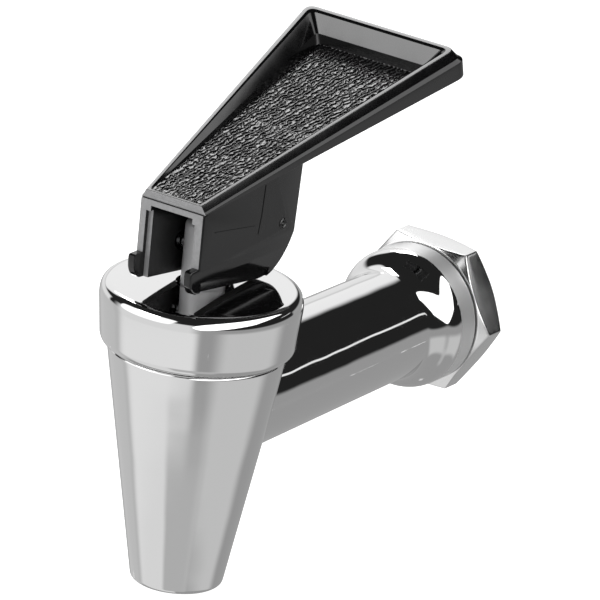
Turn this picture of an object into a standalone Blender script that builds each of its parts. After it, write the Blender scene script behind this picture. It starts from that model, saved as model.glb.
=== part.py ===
# Beverage dispenser spigot: a chrome plated casting with a self-closing seat cup valve,
# worked by a black moulded lever, and a swivelling coupling nut at its inlet.
# Units below are millimetres and degrees; meshes are made in metres.
# The origin is the centre of the coupling nut's back face. +Y runs out of the inlet,
# +Z is up, and the spout's axis stands in front of the nut, at -Y.
import math

import bmesh
import bpy
from mathutils import Matrix, Vector

MM = 0.001
OBJECT_NAME = "beverage_dispenser_spigot"
CUTTER_NAME = "spigot_cutters"

# Fits between pieces
SEATING_GAP = 0.3
STEM_GAP = 0.5
CUT_PAST = 1.0

# Spout, the conical front of the body casting, measured from the seam under the bonnet
SPOUT_REACH = 69.4
SEAM_RISE = 10.7
SPOUT_TOP_RADIUS = 14.2
SPOUT_TIP_RADIUS = 7.25
SPOUT_DROP = 39.2
SPOUT_TIP_ROUND = 1.0
OUTLET_RADIUS = 5.1
OUTLET_FLARE = 0.5
SEAM_ROUND = 0.5

# Valve chamber and seat
COLLAR_RADIUS = 13.0
COLLAR_RISE = 5.5
CHAMBER_RADIUS = 11.4
CHAMBER_FLOOR_RADIUS = 8.6
CHAMBER_SHOULDER_DROP = 3.0
SEAT_DROP = 17.5
SEAT_LIP_HEIGHT = 1.0
SEAT_LIP_WIDTH = 1.2

# Shank and bell, the horizontal back of the body casting
SHANK_RADIUS_FRONT = 9.45
SHANK_RADIUS_BACK = 8.9
SHANK_BORE_RADIUS = 6.2
BELL_RADIUS = 11.5
BELL_RIM_LENGTH = 4.0
BELL_FILLET = 4.6
BELL_SHOULDER_ROUND = 3.4
BELL_WALL = 1.4
BELL_CAVITY_DEPTH = 5.0

# Sleeve in the bell that carries the coupling nut
SLEEVE_RADIUS = 6.8
SLEEVE_BORE_RADIUS = 5.2
SLEEVE_LENGTH = 3.7
RING_GROOVE_DEPTH = 0.7
RING_WIDTH = 1.0
RING_RADIUS = 7.6
RING_MOUTH = 6.0

# Coupling nut
NUT_ACROSS_FLATS = 23.4
NUT_THICKNESS = 5.4
NUT_CHAMFER_RADIUS = 11.65
NUT_CHAMFER_DEG = 30.0
NUT_THREAD_RADIUS = 8.3
NUT_LIP_THICKNESS = 1.2
NUT_TURN_DEG = -3.5
NUT_MOUTH_CHAMFER = 0.6

# Inlet washer
WASHER_THICKNESS = 1.5

# Bonnet
BONNET_RADIUS = 16.0
BONNET_SKIRT_RADIUS = 15.45
BONNET_SEAM_RADIUS = 14.35
BONNET_RISE = 10.15
BONNET_CROWN = 0.45
BONNET_EDGE_ROUND = 1.2
BONNET_SKIRT_ROUND = 1.5
BONNET_TOP_WALL = 1.6
SPRING_POCKET_RADIUS = 6.4

# Stem, its pin and the closing spring
STEM_RADIUS = 3.55
STEM_RISE = 21.0
STEM_TOP_ROUND = 1.1
STEM_COLLAR_RADIUS = 5.6
STEM_COLLAR_THICKNESS = 1.5
STEM_NECK_RADIUS = 2.2
STEM_NECK_LENGTH = 2.5
STEM_BUTTON_RADIUS = 3.4
STEM_BUTTON_THICKNESS = 1.4
PIN_RADIUS = 1.5
PIN_RISE = 16.5
PIN_SOCKET_DEPTH = 0.9
SPRING_WIRE_RADIUS = 0.45
SPRING_TURNS = 7.5

# Seat cup
CUP_FLANGE_THICKNESS = 1.4
CUP_WALL = 1.3
CUP_TIP_RADIUS = 7.3
CUP_FLOOR = 1.8

# Lever: two cheeks under a tray that widens towards the back
LEVER_FRONT = 10.6
LEVER_HALF_WIDTH = 6.0
CHEEK_WALL = 2.1
CHEEK_BACK = 16.8
CHEEK_EDGE_ROUND = 0.35
CHEEK_BOTTOM_SLOPE_DEG = 6.8
CHEEK_BOTTOM_FRONT = 9.8
CHEEK_CHAMFER_RISE = 1.7
CHEEK_CHAMFER_DEPTH = 0.8
TOE_REACH = 2.2
TOE_RISE = 4.2
TOE_SHAPE = ((0.75, 1.0), (1.0, 0.78), (0.8, 0.42), (0.35, 0.15))
CAM_OFFSET = 7.3
CAM_SWEEP_DEG = 64.0
TRAY_FRONT_RISE = 27.1
TRAY_SLOPE_DEG = 15.4
TRAY_LENGTH = 58.8
TRAY_FRONT_HALF = 6.0
TRAY_BACK_HALF = 15.6
TRAY_FRONT_DEPTH = 1.3
TRAY_BACK_DEPTH = 5.2
TRAY_CORNER_ROUND = 2.2
CREST_SETBACK = 0.9
CREST_RISE = 1.25
RIM_WIDTH = 0.9
FLOOR_FRONT_DROP = 0.15
FLOOR_BACK_DROP = 3.95
FLOOR_SIDE_LEAN = 3.2
FLOOR_BACK_LEAN = 3.6
FACET_SHARE = 0.6
ROOF_FRONT_DEPTH = 2.2
ROOF_BACK_MARGIN = 0.3

# Mesh fineness
TURN_STEPS = 56
SMALL_STEPS = 32
ARC_STEPS = 6
CAM_STEPS = 10
CORNER_STEPS = 4
CROWN_STEPS = 3
SPRING_STEPS = 12

# Places worked out from the sizes above
SPOUT_AXIS = Vector((0.0, -SPOUT_REACH, SEAM_RISE))
BELL_BACK = NUT_THICKNESS + SEATING_GAP
CAVITY_FLOOR = BELL_BACK + BELL_CAVITY_DEPTH
CAVITY_RADIUS = BELL_RADIUS - BELL_WALL
BARREL_RADIUS = CAVITY_RADIUS - SEATING_GAP
BARREL_FRONT = CAVITY_FLOOR - SEATING_GAP
LIP_BACK = BARREL_FRONT - NUT_LIP_THICKNESS
RING_FRONT = LIP_BACK - SEATING_GAP
RING_BACK = RING_FRONT - RING_WIDTH
SLEEVE_BACK = CAVITY_FLOOR - SLEEVE_LENGTH
FLANGE_BOTTOM = COLLAR_RISE + SEATING_GAP
FLANGE_TOP = FLANGE_BOTTOM + CUP_FLANGE_THICKNESS
BONNET_SHOULDER = FLANGE_TOP + SEATING_GAP
BONNET_BORE = COLLAR_RADIUS + SEATING_GAP
STEM_HOLE_RADIUS = STEM_RADIUS + STEM_GAP
BONNET_CENTRE_RISE = BONNET_RISE + BONNET_CROWN
SPRING_CEILING = BONNET_CENTRE_RISE - BONNET_TOP_WALL
CUP_BOTTOM = -SEAT_DROP + SEATING_GAP
BUTTON_BOTTOM = CUP_BOTTOM + CUP_FLOOR + SEATING_GAP
BUTTON_TOP = BUTTON_BOTTOM + STEM_BUTTON_THICKNESS
STEM_COLLAR_BOTTOM = BUTTON_TOP + STEM_NECK_LENGTH
STEM_COLLAR_TOP = STEM_COLLAR_BOTTOM + STEM_COLLAR_THICKNESS
CUP_INNER_FLOOR = STEM_COLLAR_BOTTOM - SEATING_GAP
CUP_INNER_RADIUS = STEM_COLLAR_RADIUS + 2 * SEATING_GAP
CUP_OUTER_RADIUS = CUP_INNER_RADIUS + CUP_WALL
CHANNEL_HALF = LEVER_HALF_WIDTH - CHEEK_WALL
PIN_HALF_LENGTH = CHANNEL_HALF + PIN_SOCKET_DEPTH - SEATING_GAP
TRAY_SLOPE = math.radians(TRAY_SLOPE_DEG)


def arc(centre_x, centre_y, radius, start_deg, end_deg, steps=ARC_STEPS):
    """Points on an arc, its two ends included."""
    points = []
    for i in range(steps + 1):
        angle = math.radians(start_deg + (end_deg - start_deg) * i / steps)
        points.append((centre_x + radius * math.cos(angle), centre_y + radius * math.sin(angle)))
    return points


def bonnet_top_rise(radius):
    """Height of the bonnet's crowned top above the seam."""
    return BONNET_RISE + BONNET_CROWN * (1 - (radius / BONNET_RADIUS) ** 2)


def material(name, color, metallic, roughness):
    made = bpy.data.materials.new(name)
    made.use_nodes = True
    shader = made.node_tree.nodes["Principled BSDF"]
    shader.inputs["Base Color"].default_value = (*color, 1.0)
    shader.inputs["Metallic"].default_value = metallic
    shader.inputs["Roughness"].default_value = roughness
    made.diffuse_color = (*color, 1.0)
    return made


def dress(obj, name, color, metallic, roughness):
    obj.data.materials.append(material(name, color, metallic, roughness))


def collection(name):
    made = bpy.data.collections.new(name)
    bpy.context.scene.collection.children.link(made)
    return made


def add_object(name, data, group):
    made = bpy.data.objects.new(name, data)
    group.objects.link(made)
    return made


def as_cutter(obj):
    obj.hide_render = True
    obj.display_type = "WIRE"
    return obj


def turned(name, group, outline, closed, steps=TURN_STEPS):
    """A solid turned about Z from (radius, height) points, the outer side from top to bottom."""
    count = len(outline)
    edges = [(i, i + 1) for i in range(count - 1)]
    if closed:
        edges.append((count - 1, 0))
    mesh = bpy.data.meshes.new(name)
    mesh.from_pydata([(r * MM, 0.0, z * MM) for r, z in outline], edges, [])
    obj = add_object(name, mesh, group)
    screw = obj.modifiers.new("turn", "SCREW")
    screw.steps = steps
    screw.render_steps = steps
    screw.use_merge_vertices = True
    screw.merge_threshold = 0.00001
    screw.use_smooth_shade = True
    return obj


def laid_along_y(obj):
    """Turns a piece made about Z so that its height runs along +Y."""
    obj.rotation_euler = (-math.pi / 2, 0.0, 0.0)
    return obj


def plate(name, group, outline, half_thickness, edge_round=0.0):
    """A flat outline of (y, z) points, filled and extruded both ways along X."""
    curve = bpy.data.curves.new(name, "CURVE")
    curve.dimensions = "2D"
    curve.fill_mode = "BOTH"
    curve.extrude = (half_thickness - edge_round) * MM
    curve.bevel_depth = edge_round * MM
    curve.offset = -edge_round * MM
    curve.bevel_resolution = 1
    spline = curve.splines.new("POLY")
    spline.points.add(len(outline) - 1)
    for point, (y, z) in zip(spline.points, outline):
        point.co = (y * MM, z * MM, 0.0, 1.0)
    spline.use_cyclic_u = True
    source = add_object(name + "_outline", curve, group)
    upright = Matrix(((0, 0, 1, 0), (1, 0, 0, 0), (0, 1, 0, 0), (0, 0, 0, 1)))
    return curve_to_mesh(source, name, group, upright)


def curve_to_mesh(source, name, group, placing):
    """The mesh of a curve object, welded, with the curve removed."""
    bpy.context.view_layer.update()
    shape = source.evaluated_get(bpy.context.evaluated_depsgraph_get())
    mesh = bpy.data.meshes.new_from_object(shape)
    bm = bmesh.new()
    bm.from_mesh(mesh)
    bmesh.ops.remove_doubles(bm, verts=bm.verts, dist=0.00001)
    bmesh.ops.transform(bm, matrix=placing, verts=bm.verts)
    bmesh.ops.recalc_face_normals(bm, faces=bm.faces)
    bm.to_mesh(mesh)
    bm.free()
    mesh.name = name
    obj = add_object(name, mesh, group)
    bpy.data.objects.remove(source)
    return obj


def box_from_corners(name, group, corners):
    """A box primitive with its eight corners moved; corners[x][y][z] with 0 low and 1 high."""
    bm = bmesh.new()
    bmesh.ops.create_cube(bm, size=2.0)
    for vert in bm.verts:
        i, j, k = (int(c > 0) for c in vert.co)
        vert.co = Vector(corners[i][j][k]) * MM
    if bm.calc_volume(signed=True) < 0:
        bmesh.ops.reverse_faces(bm, faces=bm.faces)
    mesh = bpy.data.meshes.new(name)
    bm.to_mesh(mesh)
    bm.free()
    return add_object(name, mesh, group)


def boolean(obj, other, operation):
    modifier = obj.modifiers.new(operation.lower() + "_" + other.name, "BOOLEAN")
    modifier.operation = operation
    modifier.object = other
    modifier.solver = "EXACT"


def spout_outline():
    """Outer side of the threaded collar and the conical spout, down to its rounded tip."""
    wall_lean = math.atan2(SPOUT_TOP_RADIUS - SPOUT_TIP_RADIUS, SPOUT_DROP)
    tip_turn = math.degrees(wall_lean)
    tip_centre = SPOUT_TIP_RADIUS - SPOUT_TIP_ROUND * (1 - math.tan(wall_lean))
    top = [(0.0, COLLAR_RISE), (COLLAR_RADIUS, COLLAR_RISE), (COLLAR_RADIUS, 0.0)]
    shoulder = arc(SPOUT_TOP_RADIUS - SEAM_ROUND, -SEAM_ROUND, SEAM_ROUND, 90, -tip_turn, 3)
    tip = arc(tip_centre, SPOUT_TIP_ROUND - SPOUT_DROP, SPOUT_TIP_ROUND, -tip_turn, -90, 4)
    return top + shoulder + tip + [(0.0, -SPOUT_DROP)]


def chamber_outline():
    """Valve chamber with its raised seat, and the outlet bore that flares at the tip."""
    lip_radius = OUTLET_RADIUS + SEAT_LIP_WIDTH
    floor = -SEAT_DROP - SEAT_LIP_HEIGHT
    return [
        (0.0, COLLAR_RISE + CUT_PAST),
        (CHAMBER_RADIUS, COLLAR_RISE + CUT_PAST),
        (CHAMBER_RADIUS, -CHAMBER_SHOULDER_DROP),
        (CHAMBER_FLOOR_RADIUS, floor + SEAT_LIP_HEIGHT),
        (CHAMBER_FLOOR_RADIUS, floor),
        (lip_radius, floor),
        (lip_radius, -SEAT_DROP),
        (OUTLET_RADIUS, -SEAT_DROP),
        (OUTLET_RADIUS, -SPOUT_DROP + 2 * OUTLET_FLARE),
        (OUTLET_RADIUS + OUTLET_FLARE, -SPOUT_DROP),
        (OUTLET_RADIUS + OUTLET_FLARE, -SPOUT_DROP - CUT_PAST),
        (0.0, -SPOUT_DROP - CUT_PAST),
    ]


def shank_outline():
    """Shank and bell about the inlet axis: heights are places along Y, the bell's rim first."""
    rim_front = BELL_BACK + BELL_RIM_LENGTH
    rounds = BELL_FILLET + BELL_SHOULDER_ROUND
    turn = math.acos(1 - (BELL_RADIUS - SHANK_RADIUS_BACK) / rounds)
    bell_front = rim_front + rounds * math.sin(turn)
    turn_deg = math.degrees(turn)
    shoulder_radius = BELL_RADIUS - BELL_SHOULDER_ROUND
    shoulder = arc(shoulder_radius, -rim_front, BELL_SHOULDER_ROUND, 0, -turn_deg)
    fillet_centre = SHANK_RADIUS_BACK + BELL_FILLET
    fillet = arc(fillet_centre, -bell_front, BELL_FILLET, 180 - turn_deg, 180)[1:]
    rim = [(0.0, -BELL_BACK), (BELL_RADIUS, -BELL_BACK)]
    front = [(SHANK_RADIUS_FRONT, -SPOUT_REACH), (0.0, -SPOUT_REACH)]
    return rim + shoulder + fillet + front


def inlet_outline():
    """Water way of the shank, from the back of the sleeve to the valve chamber."""
    return [
        (0.0, CUT_PAST),
        (SLEEVE_BORE_RADIUS, CUT_PAST),
        (SLEEVE_BORE_RADIUS, -CAVITY_FLOOR - CUT_PAST),
        (SHANK_BORE_RADIUS, -CAVITY_FLOOR - 2 * CUT_PAST),
        (SHANK_BORE_RADIUS, -SPOUT_REACH + CHAMBER_FLOOR_RADIUS / 2),
        (0.0, -SPOUT_REACH + CHAMBER_FLOOR_RADIUS / 2),
    ]


def cavity_outline():
    """Ring shaped hollow of the bell round the sleeve, with the retaining ring's groove."""
    groove_radius = SLEEVE_RADIUS - RING_GROOVE_DEPTH
    return [
        (0.0, -BELL_BACK + CUT_PAST),
        (CAVITY_RADIUS, -BELL_BACK + CUT_PAST),
        (CAVITY_RADIUS, -CAVITY_FLOOR),
        (SLEEVE_RADIUS, -CAVITY_FLOOR),
        (SLEEVE_RADIUS, -RING_FRONT),
        (groove_radius, -RING_FRONT),
        (groove_radius, -RING_BACK + SEATING_GAP),
        (SLEEVE_RADIUS, -RING_BACK + SEATING_GAP),
        (SLEEVE_RADIUS, -SLEEVE_BACK),
        (0.0, -SLEEVE_BACK),
    ]


def build_body(group, cutters):
    body = turned("faucet_body", group, spout_outline(), closed=False)
    body.location = SPOUT_AXIS * MM
    shank = as_cutter(laid_along_y(turned("shank_form", cutters, shank_outline(), closed=False)))
    chamber = as_cutter(turned("chamber_cut", cutters, chamber_outline(), closed=False))
    chamber.location = SPOUT_AXIS * MM
    inlet = as_cutter(laid_along_y(turned("inlet_cut", cutters, inlet_outline(), closed=False)))
    cavity = as_cutter(laid_along_y(turned("cavity_cut", cutters, cavity_outline(), closed=False)))
    boolean(body, shank, "UNION")
    boolean(body, chamber, "DIFFERENCE")
    boolean(body, inlet, "DIFFERENCE")
    boolean(body, cavity, "DIFFERENCE")
    return body


def build_retaining_ring(group, cutters):
    groove_radius = SLEEVE_RADIUS - RING_GROOVE_DEPTH
    inner = groove_radius + SEATING_GAP
    outline = [
        (RING_RADIUS, -RING_BACK),
        (RING_RADIUS, -RING_FRONT),
        (inner, -RING_FRONT),
        (inner, -RING_BACK),
    ]
    ring = laid_along_y(turned("nut_retaining_ring", group, outline, closed=True, steps=SMALL_STEPS))
    half = RING_MOUTH / 2
    reach = RING_RADIUS + CUT_PAST
    low = -RING_FRONT - CUT_PAST
    high = -RING_BACK + CUT_PAST
    corners = [[[(x, y, z) for z in (-reach, 0.0)] for y in (low, high)] for x in (-half, half)]
    mouth = as_cutter(box_from_corners("ring_mouth_cut", cutters, corners))
    boolean(ring, mouth, "DIFFERENCE")
    return ring


def build_washer(group):
    back = -SLEEVE_BACK + SEATING_GAP + WASHER_THICKNESS
    front = -SLEEVE_BACK + SEATING_GAP
    outer = NUT_THREAD_RADIUS - SEATING_GAP
    outline = [(outer, back), (outer, front), (SLEEVE_BORE_RADIUS, front), (SLEEVE_BORE_RADIUS, back)]
    return laid_along_y(turned("inlet_washer", group, outline, closed=True, steps=SMALL_STEPS))


def build_nut(group, cutters):
    """Hexagon from a six sided cone primitive, its corners turned off, joined to its barrel."""
    corner_radius = NUT_ACROSS_FLATS / 2 / math.cos(math.pi / 6)
    bm = bmesh.new()
    bmesh.ops.create_cone(
        bm, cap_ends=True, segments=6, radius1=corner_radius * MM, radius2=corner_radius * MM,
        depth=NUT_THICKNESS * MM)
    bmesh.ops.translate(bm, verts=bm.verts, vec=(0.0, 0.0, -NUT_THICKNESS / 2 * MM))
    turn = Matrix.Rotation(math.radians(NUT_TURN_DEG - 90), 3, "Z")
    bmesh.ops.rotate(bm, verts=bm.verts, matrix=turn)
    mesh = bpy.data.meshes.new("coupling_nut")
    bm.to_mesh(mesh)
    bm.free()
    nut = laid_along_y(add_object("coupling_nut", mesh, group))
    past = corner_radius + CUT_PAST
    fall = (past - NUT_CHAMFER_RADIUS) * math.tan(math.radians(NUT_CHAMFER_DEG))
    envelope = [
        (0.0, 0.0),
        (NUT_CHAMFER_RADIUS, 0.0),
        (past, -fall),
        (past, fall - NUT_THICKNESS),
        (NUT_CHAMFER_RADIUS, -NUT_THICKNESS),
        (0.0, -NUT_THICKNESS),
    ]
    turning = as_cutter(laid_along_y(turned("nut_corner_form", cutters, envelope, closed=False)))
    boolean(nut, turning, "INTERSECT")
    barrel_outline = [
        (0.0, -NUT_THICKNESS / 2),
        (BARREL_RADIUS, -NUT_THICKNESS / 2),
        (BARREL_RADIUS, -BARREL_FRONT),
        (0.0, -BARREL_FRONT),
    ]
    barrel = as_cutter(laid_along_y(turned("nut_barrel_form", cutters, barrel_outline, closed=False)))
    boolean(nut, barrel, "UNION")
    bore_outline = [
        (0.0, CUT_PAST),
        (NUT_THREAD_RADIUS + NUT_MOUTH_CHAMFER + CUT_PAST, CUT_PAST),
        (NUT_THREAD_RADIUS, -NUT_MOUTH_CHAMFER),
        (NUT_THREAD_RADIUS, -LIP_BACK),
        (SLEEVE_RADIUS + SEATING_GAP, -LIP_BACK),
        (SLEEVE_RADIUS + SEATING_GAP, -BARREL_FRONT - CUT_PAST),
        (0.0, -BARREL_FRONT - CUT_PAST),
    ]
    bore = as_cutter(laid_along_y(turned("nut_bore_cut", cutters, bore_outline, closed=False)))
    boolean(nut, bore, "DIFFERENCE")
    return nut


def bonnet_outline():
    """Crowned top, rounded edge, tapered skirt and the stepped inside, as one closed loop."""
    edge = BONNET_EDGE_ROUND
    flat_width = BONNET_RADIUS - edge - STEM_HOLE_RADIUS
    crown_radii = [STEM_HOLE_RADIUS + flat_width * i / CROWN_STEPS for i in range(CROWN_STEPS)]
    top = [(radius, bonnet_top_rise(radius)) for radius in crown_radii]
    rim_rise = bonnet_top_rise(BONNET_RADIUS - edge)
    rim = arc(BONNET_RADIUS - edge, rim_rise - edge, edge, 90, 0, 5)
    skirt_foot = SEATING_GAP + BONNET_SKIRT_ROUND
    skirt = [(BONNET_SKIRT_RADIUS, skirt_foot)]
    turn_in = BONNET_SKIRT_RADIUS - BONNET_SEAM_RADIUS
    for i in range(1, CORNER_STEPS + 1):
        angle = math.radians(90 * i / CORNER_STEPS)
        radius = BONNET_SEAM_RADIUS + turn_in * math.cos(angle)
        skirt.append((radius, skirt_foot - BONNET_SKIRT_ROUND * math.sin(angle)))
    inside = [
        (BONNET_BORE, SEATING_GAP),
        (BONNET_BORE, BONNET_SHOULDER),
        (SPRING_POCKET_RADIUS, BONNET_SHOULDER),
        (SPRING_POCKET_RADIUS, SPRING_CEILING),
        (STEM_HOLE_RADIUS, SPRING_CEILING),
    ]
    return top + rim + skirt + inside


def build_bonnet(group):
    bonnet = turned("bonnet", group, bonnet_outline(), closed=True)
    bonnet.location = SPOUT_AXIS * MM
    return bonnet


def build_seat_cup(group):
    """Silicone cup with a clamped flange, a flexible wall and a socket for the stem's button."""
    flange_radius = COLLAR_RADIUS - SEATING_GAP
    neck_hole = STEM_NECK_RADIUS + SEATING_GAP
    button_hole = STEM_BUTTON_RADIUS + SEATING_GAP
    outline = [
        (0.0, BUTTON_BOTTOM - SEATING_GAP),
        (button_hole, BUTTON_BOTTOM - SEATING_GAP),
        (button_hole, BUTTON_TOP + SEATING_GAP),
        (neck_hole, BUTTON_TOP + SEATING_GAP),
        (neck_hole, CUP_INNER_FLOOR),
        (CUP_INNER_RADIUS, CUP_INNER_FLOOR),
        (CUP_INNER_RADIUS, FLANGE_TOP),
        (flange_radius, FLANGE_TOP),
        (flange_radius, FLANGE_BOTTOM),
        (CUP_OUTER_RADIUS, FLANGE_BOTTOM),
        (CUP_OUTER_RADIUS, CUP_INNER_FLOOR),
        (CUP_TIP_RADIUS, CUP_BOTTOM + CUP_FLOOR),
        (CUP_TIP_RADIUS, CUP_BOTTOM),
        (0.0, CUP_BOTTOM),
    ]
    cup = turned("seat_cup", group, outline, closed=False, steps=SMALL_STEPS)
    cup.location = SPOUT_AXIS * MM
    return cup


def build_stem(group, cutters):
    """Turned stem with its spring collar and bottom button, drilled across for the pin."""
    top_arc = arc(STEM_RADIUS - STEM_TOP_ROUND, STEM_RISE - STEM_TOP_ROUND, STEM_TOP_ROUND, 90, 0, 4)
    outline = [(0.0, STEM_RISE)] + top_arc + [
        (STEM_RADIUS, STEM_COLLAR_TOP),
        (STEM_COLLAR_RADIUS, STEM_COLLAR_TOP),
        (STEM_COLLAR_RADIUS, STEM_COLLAR_BOTTOM),
        (STEM_NECK_RADIUS, STEM_COLLAR_BOTTOM),
        (STEM_NECK_RADIUS, BUTTON_TOP),
        (STEM_BUTTON_RADIUS, BUTTON_TOP),
        (STEM_BUTTON_RADIUS, BUTTON_BOTTOM),
        (0.0, BUTTON_BOTTOM),
    ]
    stem = turned("stem", group, outline, closed=False, steps=SMALL_STEPS)
    stem.location = SPOUT_AXIS * MM
    hole_length = 2 * (STEM_RADIUS + CUT_PAST)
    hole = rod("stem_pin_hole_cut", cutters, PIN_RADIUS + SEATING_GAP, hole_length)
    boolean(stem, as_cutter(hole), "DIFFERENCE")
    return stem


def pivot_point():
    return SPOUT_AXIS + Vector((0.0, 0.0, PIN_RISE))


def rod(name, group, radius, length):
    """A cylinder along X on the lever's pivot."""
    bm = bmesh.new()
    bmesh.ops.create_cone(
        bm, cap_ends=True, segments=SMALL_STEPS // 2, radius1=radius * MM, radius2=radius * MM,
        depth=length * MM)
    bmesh.ops.rotate(bm, verts=bm.verts, matrix=Matrix.Rotation(math.pi / 2, 3, "Y"))
    mesh = bpy.data.meshes.new(name)
    bm.to_mesh(mesh)
    bm.free()
    obj = add_object(name, mesh, group)
    obj.location = pivot_point() * MM
    return obj


def build_spring(group):
    """Compression spring from the stem's collar up to the bonnet, as one helical wire."""
    low = STEM_COLLAR_TOP + SEATING_GAP + SPRING_WIRE_RADIUS
    high = SPRING_CEILING - SEATING_GAP - SPRING_WIRE_RADIUS
    mean_radius = (STEM_HOLE_RADIUS + SPRING_POCKET_RADIUS) / 2
    count = round(SPRING_TURNS * SPRING_STEPS) + 1
    curve = bpy.data.curves.new("closing_spring", "CURVE")
    curve.dimensions = "3D"
    curve.bevel_depth = SPRING_WIRE_RADIUS * MM
    curve.bevel_resolution = 2
    curve.use_fill_caps = True
    spline = curve.splines.new("POLY")
    spline.points.add(count - 1)
    for i, point in enumerate(spline.points):
        angle = 2 * math.pi * i / SPRING_STEPS
        height = low + (high - low) * i / (count - 1)
        spot = (mean_radius * math.cos(angle), mean_radius * math.sin(angle), height)
        point.co = (*(Vector(spot) * MM), 1.0)
    spring = add_object("closing_spring", curve, group)
    spring.location = SPOUT_AXIS * MM
    return spring


def cam_height(turn):
    """Pivot down to the bonnet, as the lever turns: the lift grows evenly with the angle."""
    contact_radius = math.hypot(CAM_OFFSET, LEVER_HALF_WIDTH)
    at_rest = PIN_RISE - bonnet_top_rise(contact_radius) - SEATING_GAP
    return at_rest + CAM_OFFSET * turn


def cheek_outline():
    """Side view of a cheek about the pivot: involute cam, sloping bottom, toe and front edge."""
    points = []
    for i in range(CAM_STEPS + 1):
        turn = math.radians(CAM_SWEEP_DEG) * i / CAM_STEPS
        height = cam_height(turn)
        y = CAM_OFFSET * math.cos(turn) + height * math.sin(turn)
        z = CAM_OFFSET * math.sin(turn) - height * math.cos(turn)
        points.append((y, z))
    tray_middle = (underside_depth(CHEEK_BACK) + TRAY_FRONT_DEPTH) / 2
    points.append((CHEEK_BACK, tray_line(CHEEK_BACK, tray_middle)))
    points.append((-LEVER_FRONT, tray_line(-LEVER_FRONT, TRAY_FRONT_DEPTH)))
    bottom_rise = (CAM_OFFSET + CHEEK_BOTTOM_FRONT) * math.tan(math.radians(CHEEK_BOTTOM_SLOPE_DEG))
    bottom = bottom_rise - cam_height(0.0)
    points.append((-LEVER_FRONT, bottom + TOE_RISE))
    for out, up in TOE_SHAPE:
        points.append((-LEVER_FRONT - TOE_REACH * out, bottom + TOE_RISE * up))
    points.append((-CHEEK_BOTTOM_FRONT, bottom))
    return points


def tray_line(y, depth):
    """Height above the pivot of the line that lies the given depth under the tray's crest."""
    along = (y + LEVER_FRONT) * math.tan(TRAY_SLOPE)
    return TRAY_FRONT_RISE + along - depth / math.cos(TRAY_SLOPE) - PIN_RISE


def underside_depth(y):
    """Depth of the tray's underside below its crest."""
    along = (y + LEVER_FRONT) / math.cos(TRAY_SLOPE)
    return TRAY_FRONT_DEPTH + (TRAY_BACK_DEPTH - TRAY_FRONT_DEPTH) * along / TRAY_LENGTH


def tray_ring(front, back, inset, depths, corner):
    """One level of the tray as a trapezium with its two back corners rounded.
    front and back are places along the tray, inset comes off its outer half width,
    and depths are taken under the crest at those two places."""
    def half(along):
        return TRAY_FRONT_HALF + (TRAY_BACK_HALF - TRAY_FRONT_HALF) * along / TRAY_LENGTH - inset

    def point(x, along):
        share = (along - front) / (back - front)
        depth = depths[0] + (depths[1] - depths[0]) * share
        y = -LEVER_FRONT + along * math.cos(TRAY_SLOPE) + depth * math.sin(TRAY_SLOPE)
        z = along * math.sin(TRAY_SLOPE) - depth * math.cos(TRAY_SLOPE)
        return Vector((x, y, TRAY_FRONT_RISE - PIN_RISE + z))

    right = [point(half(front), front)]
    for i in range(CORNER_STEPS + 1):
        share = i / CORNER_STEPS
        start = Vector((half(back - corner), back - corner))
        turn = Vector((half(back), back))
        end = Vector((half(back) - corner, back))
        x, along = start * (1 - share) ** 2 + turn * 2 * share * (1 - share) + end * share ** 2
        right.append(point(x, along))
    left = [Vector((-p.x, p.y, p.z)) for p in reversed(right)]
    return right + left


def lofted(name, group, rings):
    """A closed solid bridged through rings of equal counts, with its two ends filled."""
    bm = bmesh.new()
    loops = []
    for ring in rings:
        verts = [bm.verts.new(point * MM) for point in ring]
        loops.append([bm.edges.new((vert, verts[i - 1])) for i, vert in enumerate(verts)])
    for low, high in zip(loops, loops[1:]):
        bmesh.ops.bridge_loops(bm, edges=low + high)
    bmesh.ops.edgeloop_fill(bm, edges=loops[0])
    bmesh.ops.edgeloop_fill(bm, edges=loops[-1])
    bmesh.ops.recalc_face_normals(bm, faces=bm.faces)
    mesh = bpy.data.meshes.new(name)
    bm.to_mesh(mesh)
    bm.free()
    return add_object(name, mesh, group)


def tray_form(cutters):
    """Outside of the tray: underside, outer edge and the raised crest inside it."""
    depths = (TRAY_FRONT_DEPTH, TRAY_BACK_DEPTH)
    edge = (CREST_RISE, CREST_RISE)
    crest_back = TRAY_LENGTH - CREST_SETBACK
    rings = [
        tray_ring(0.0, TRAY_LENGTH, 0.0, depths, TRAY_CORNER_ROUND),
        tray_ring(0.0, TRAY_LENGTH, 0.0, edge, TRAY_CORNER_ROUND),
        tray_ring(0.0, crest_back, CREST_SETBACK, (0.0, 0.0), TRAY_CORNER_ROUND - CREST_SETBACK),
    ]
    return as_cutter(lofted("tray_form", cutters, rings))


def tray_recess(cutters):
    """Inside of the tray: a sunk floor, flush at the front, with leaning sides and back."""
    inset = CREST_SETBACK + RIM_WIDTH
    back = TRAY_LENGTH - inset
    above = (-CUT_PAST, -CUT_PAST)
    facet_back = back - FLOOR_BACK_LEAN * FACET_SHARE
    floor_back = back - FLOOR_BACK_LEAN
    facet_depths = (FLOOR_FRONT_DROP / 2, FLOOR_BACK_DROP * FACET_SHARE)
    floor_depths = (FLOOR_FRONT_DROP, FLOOR_BACK_DROP)
    round_inside = TRAY_CORNER_ROUND / 2
    rings = [
        recess_ring(floor_back, inset, FLOOR_SIDE_LEAN, floor_depths, round_inside),
        recess_ring(facet_back, inset, FLOOR_SIDE_LEAN * FACET_SHARE, facet_depths, round_inside),
        tray_ring(RIM_WIDTH / 2, back, inset, (0.0, 0.0), round_inside),
        tray_ring(RIM_WIDTH / 2, back, inset, above, round_inside),
    ]
    return as_cutter(lofted("tray_recess_cut", cutters, rings))


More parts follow.
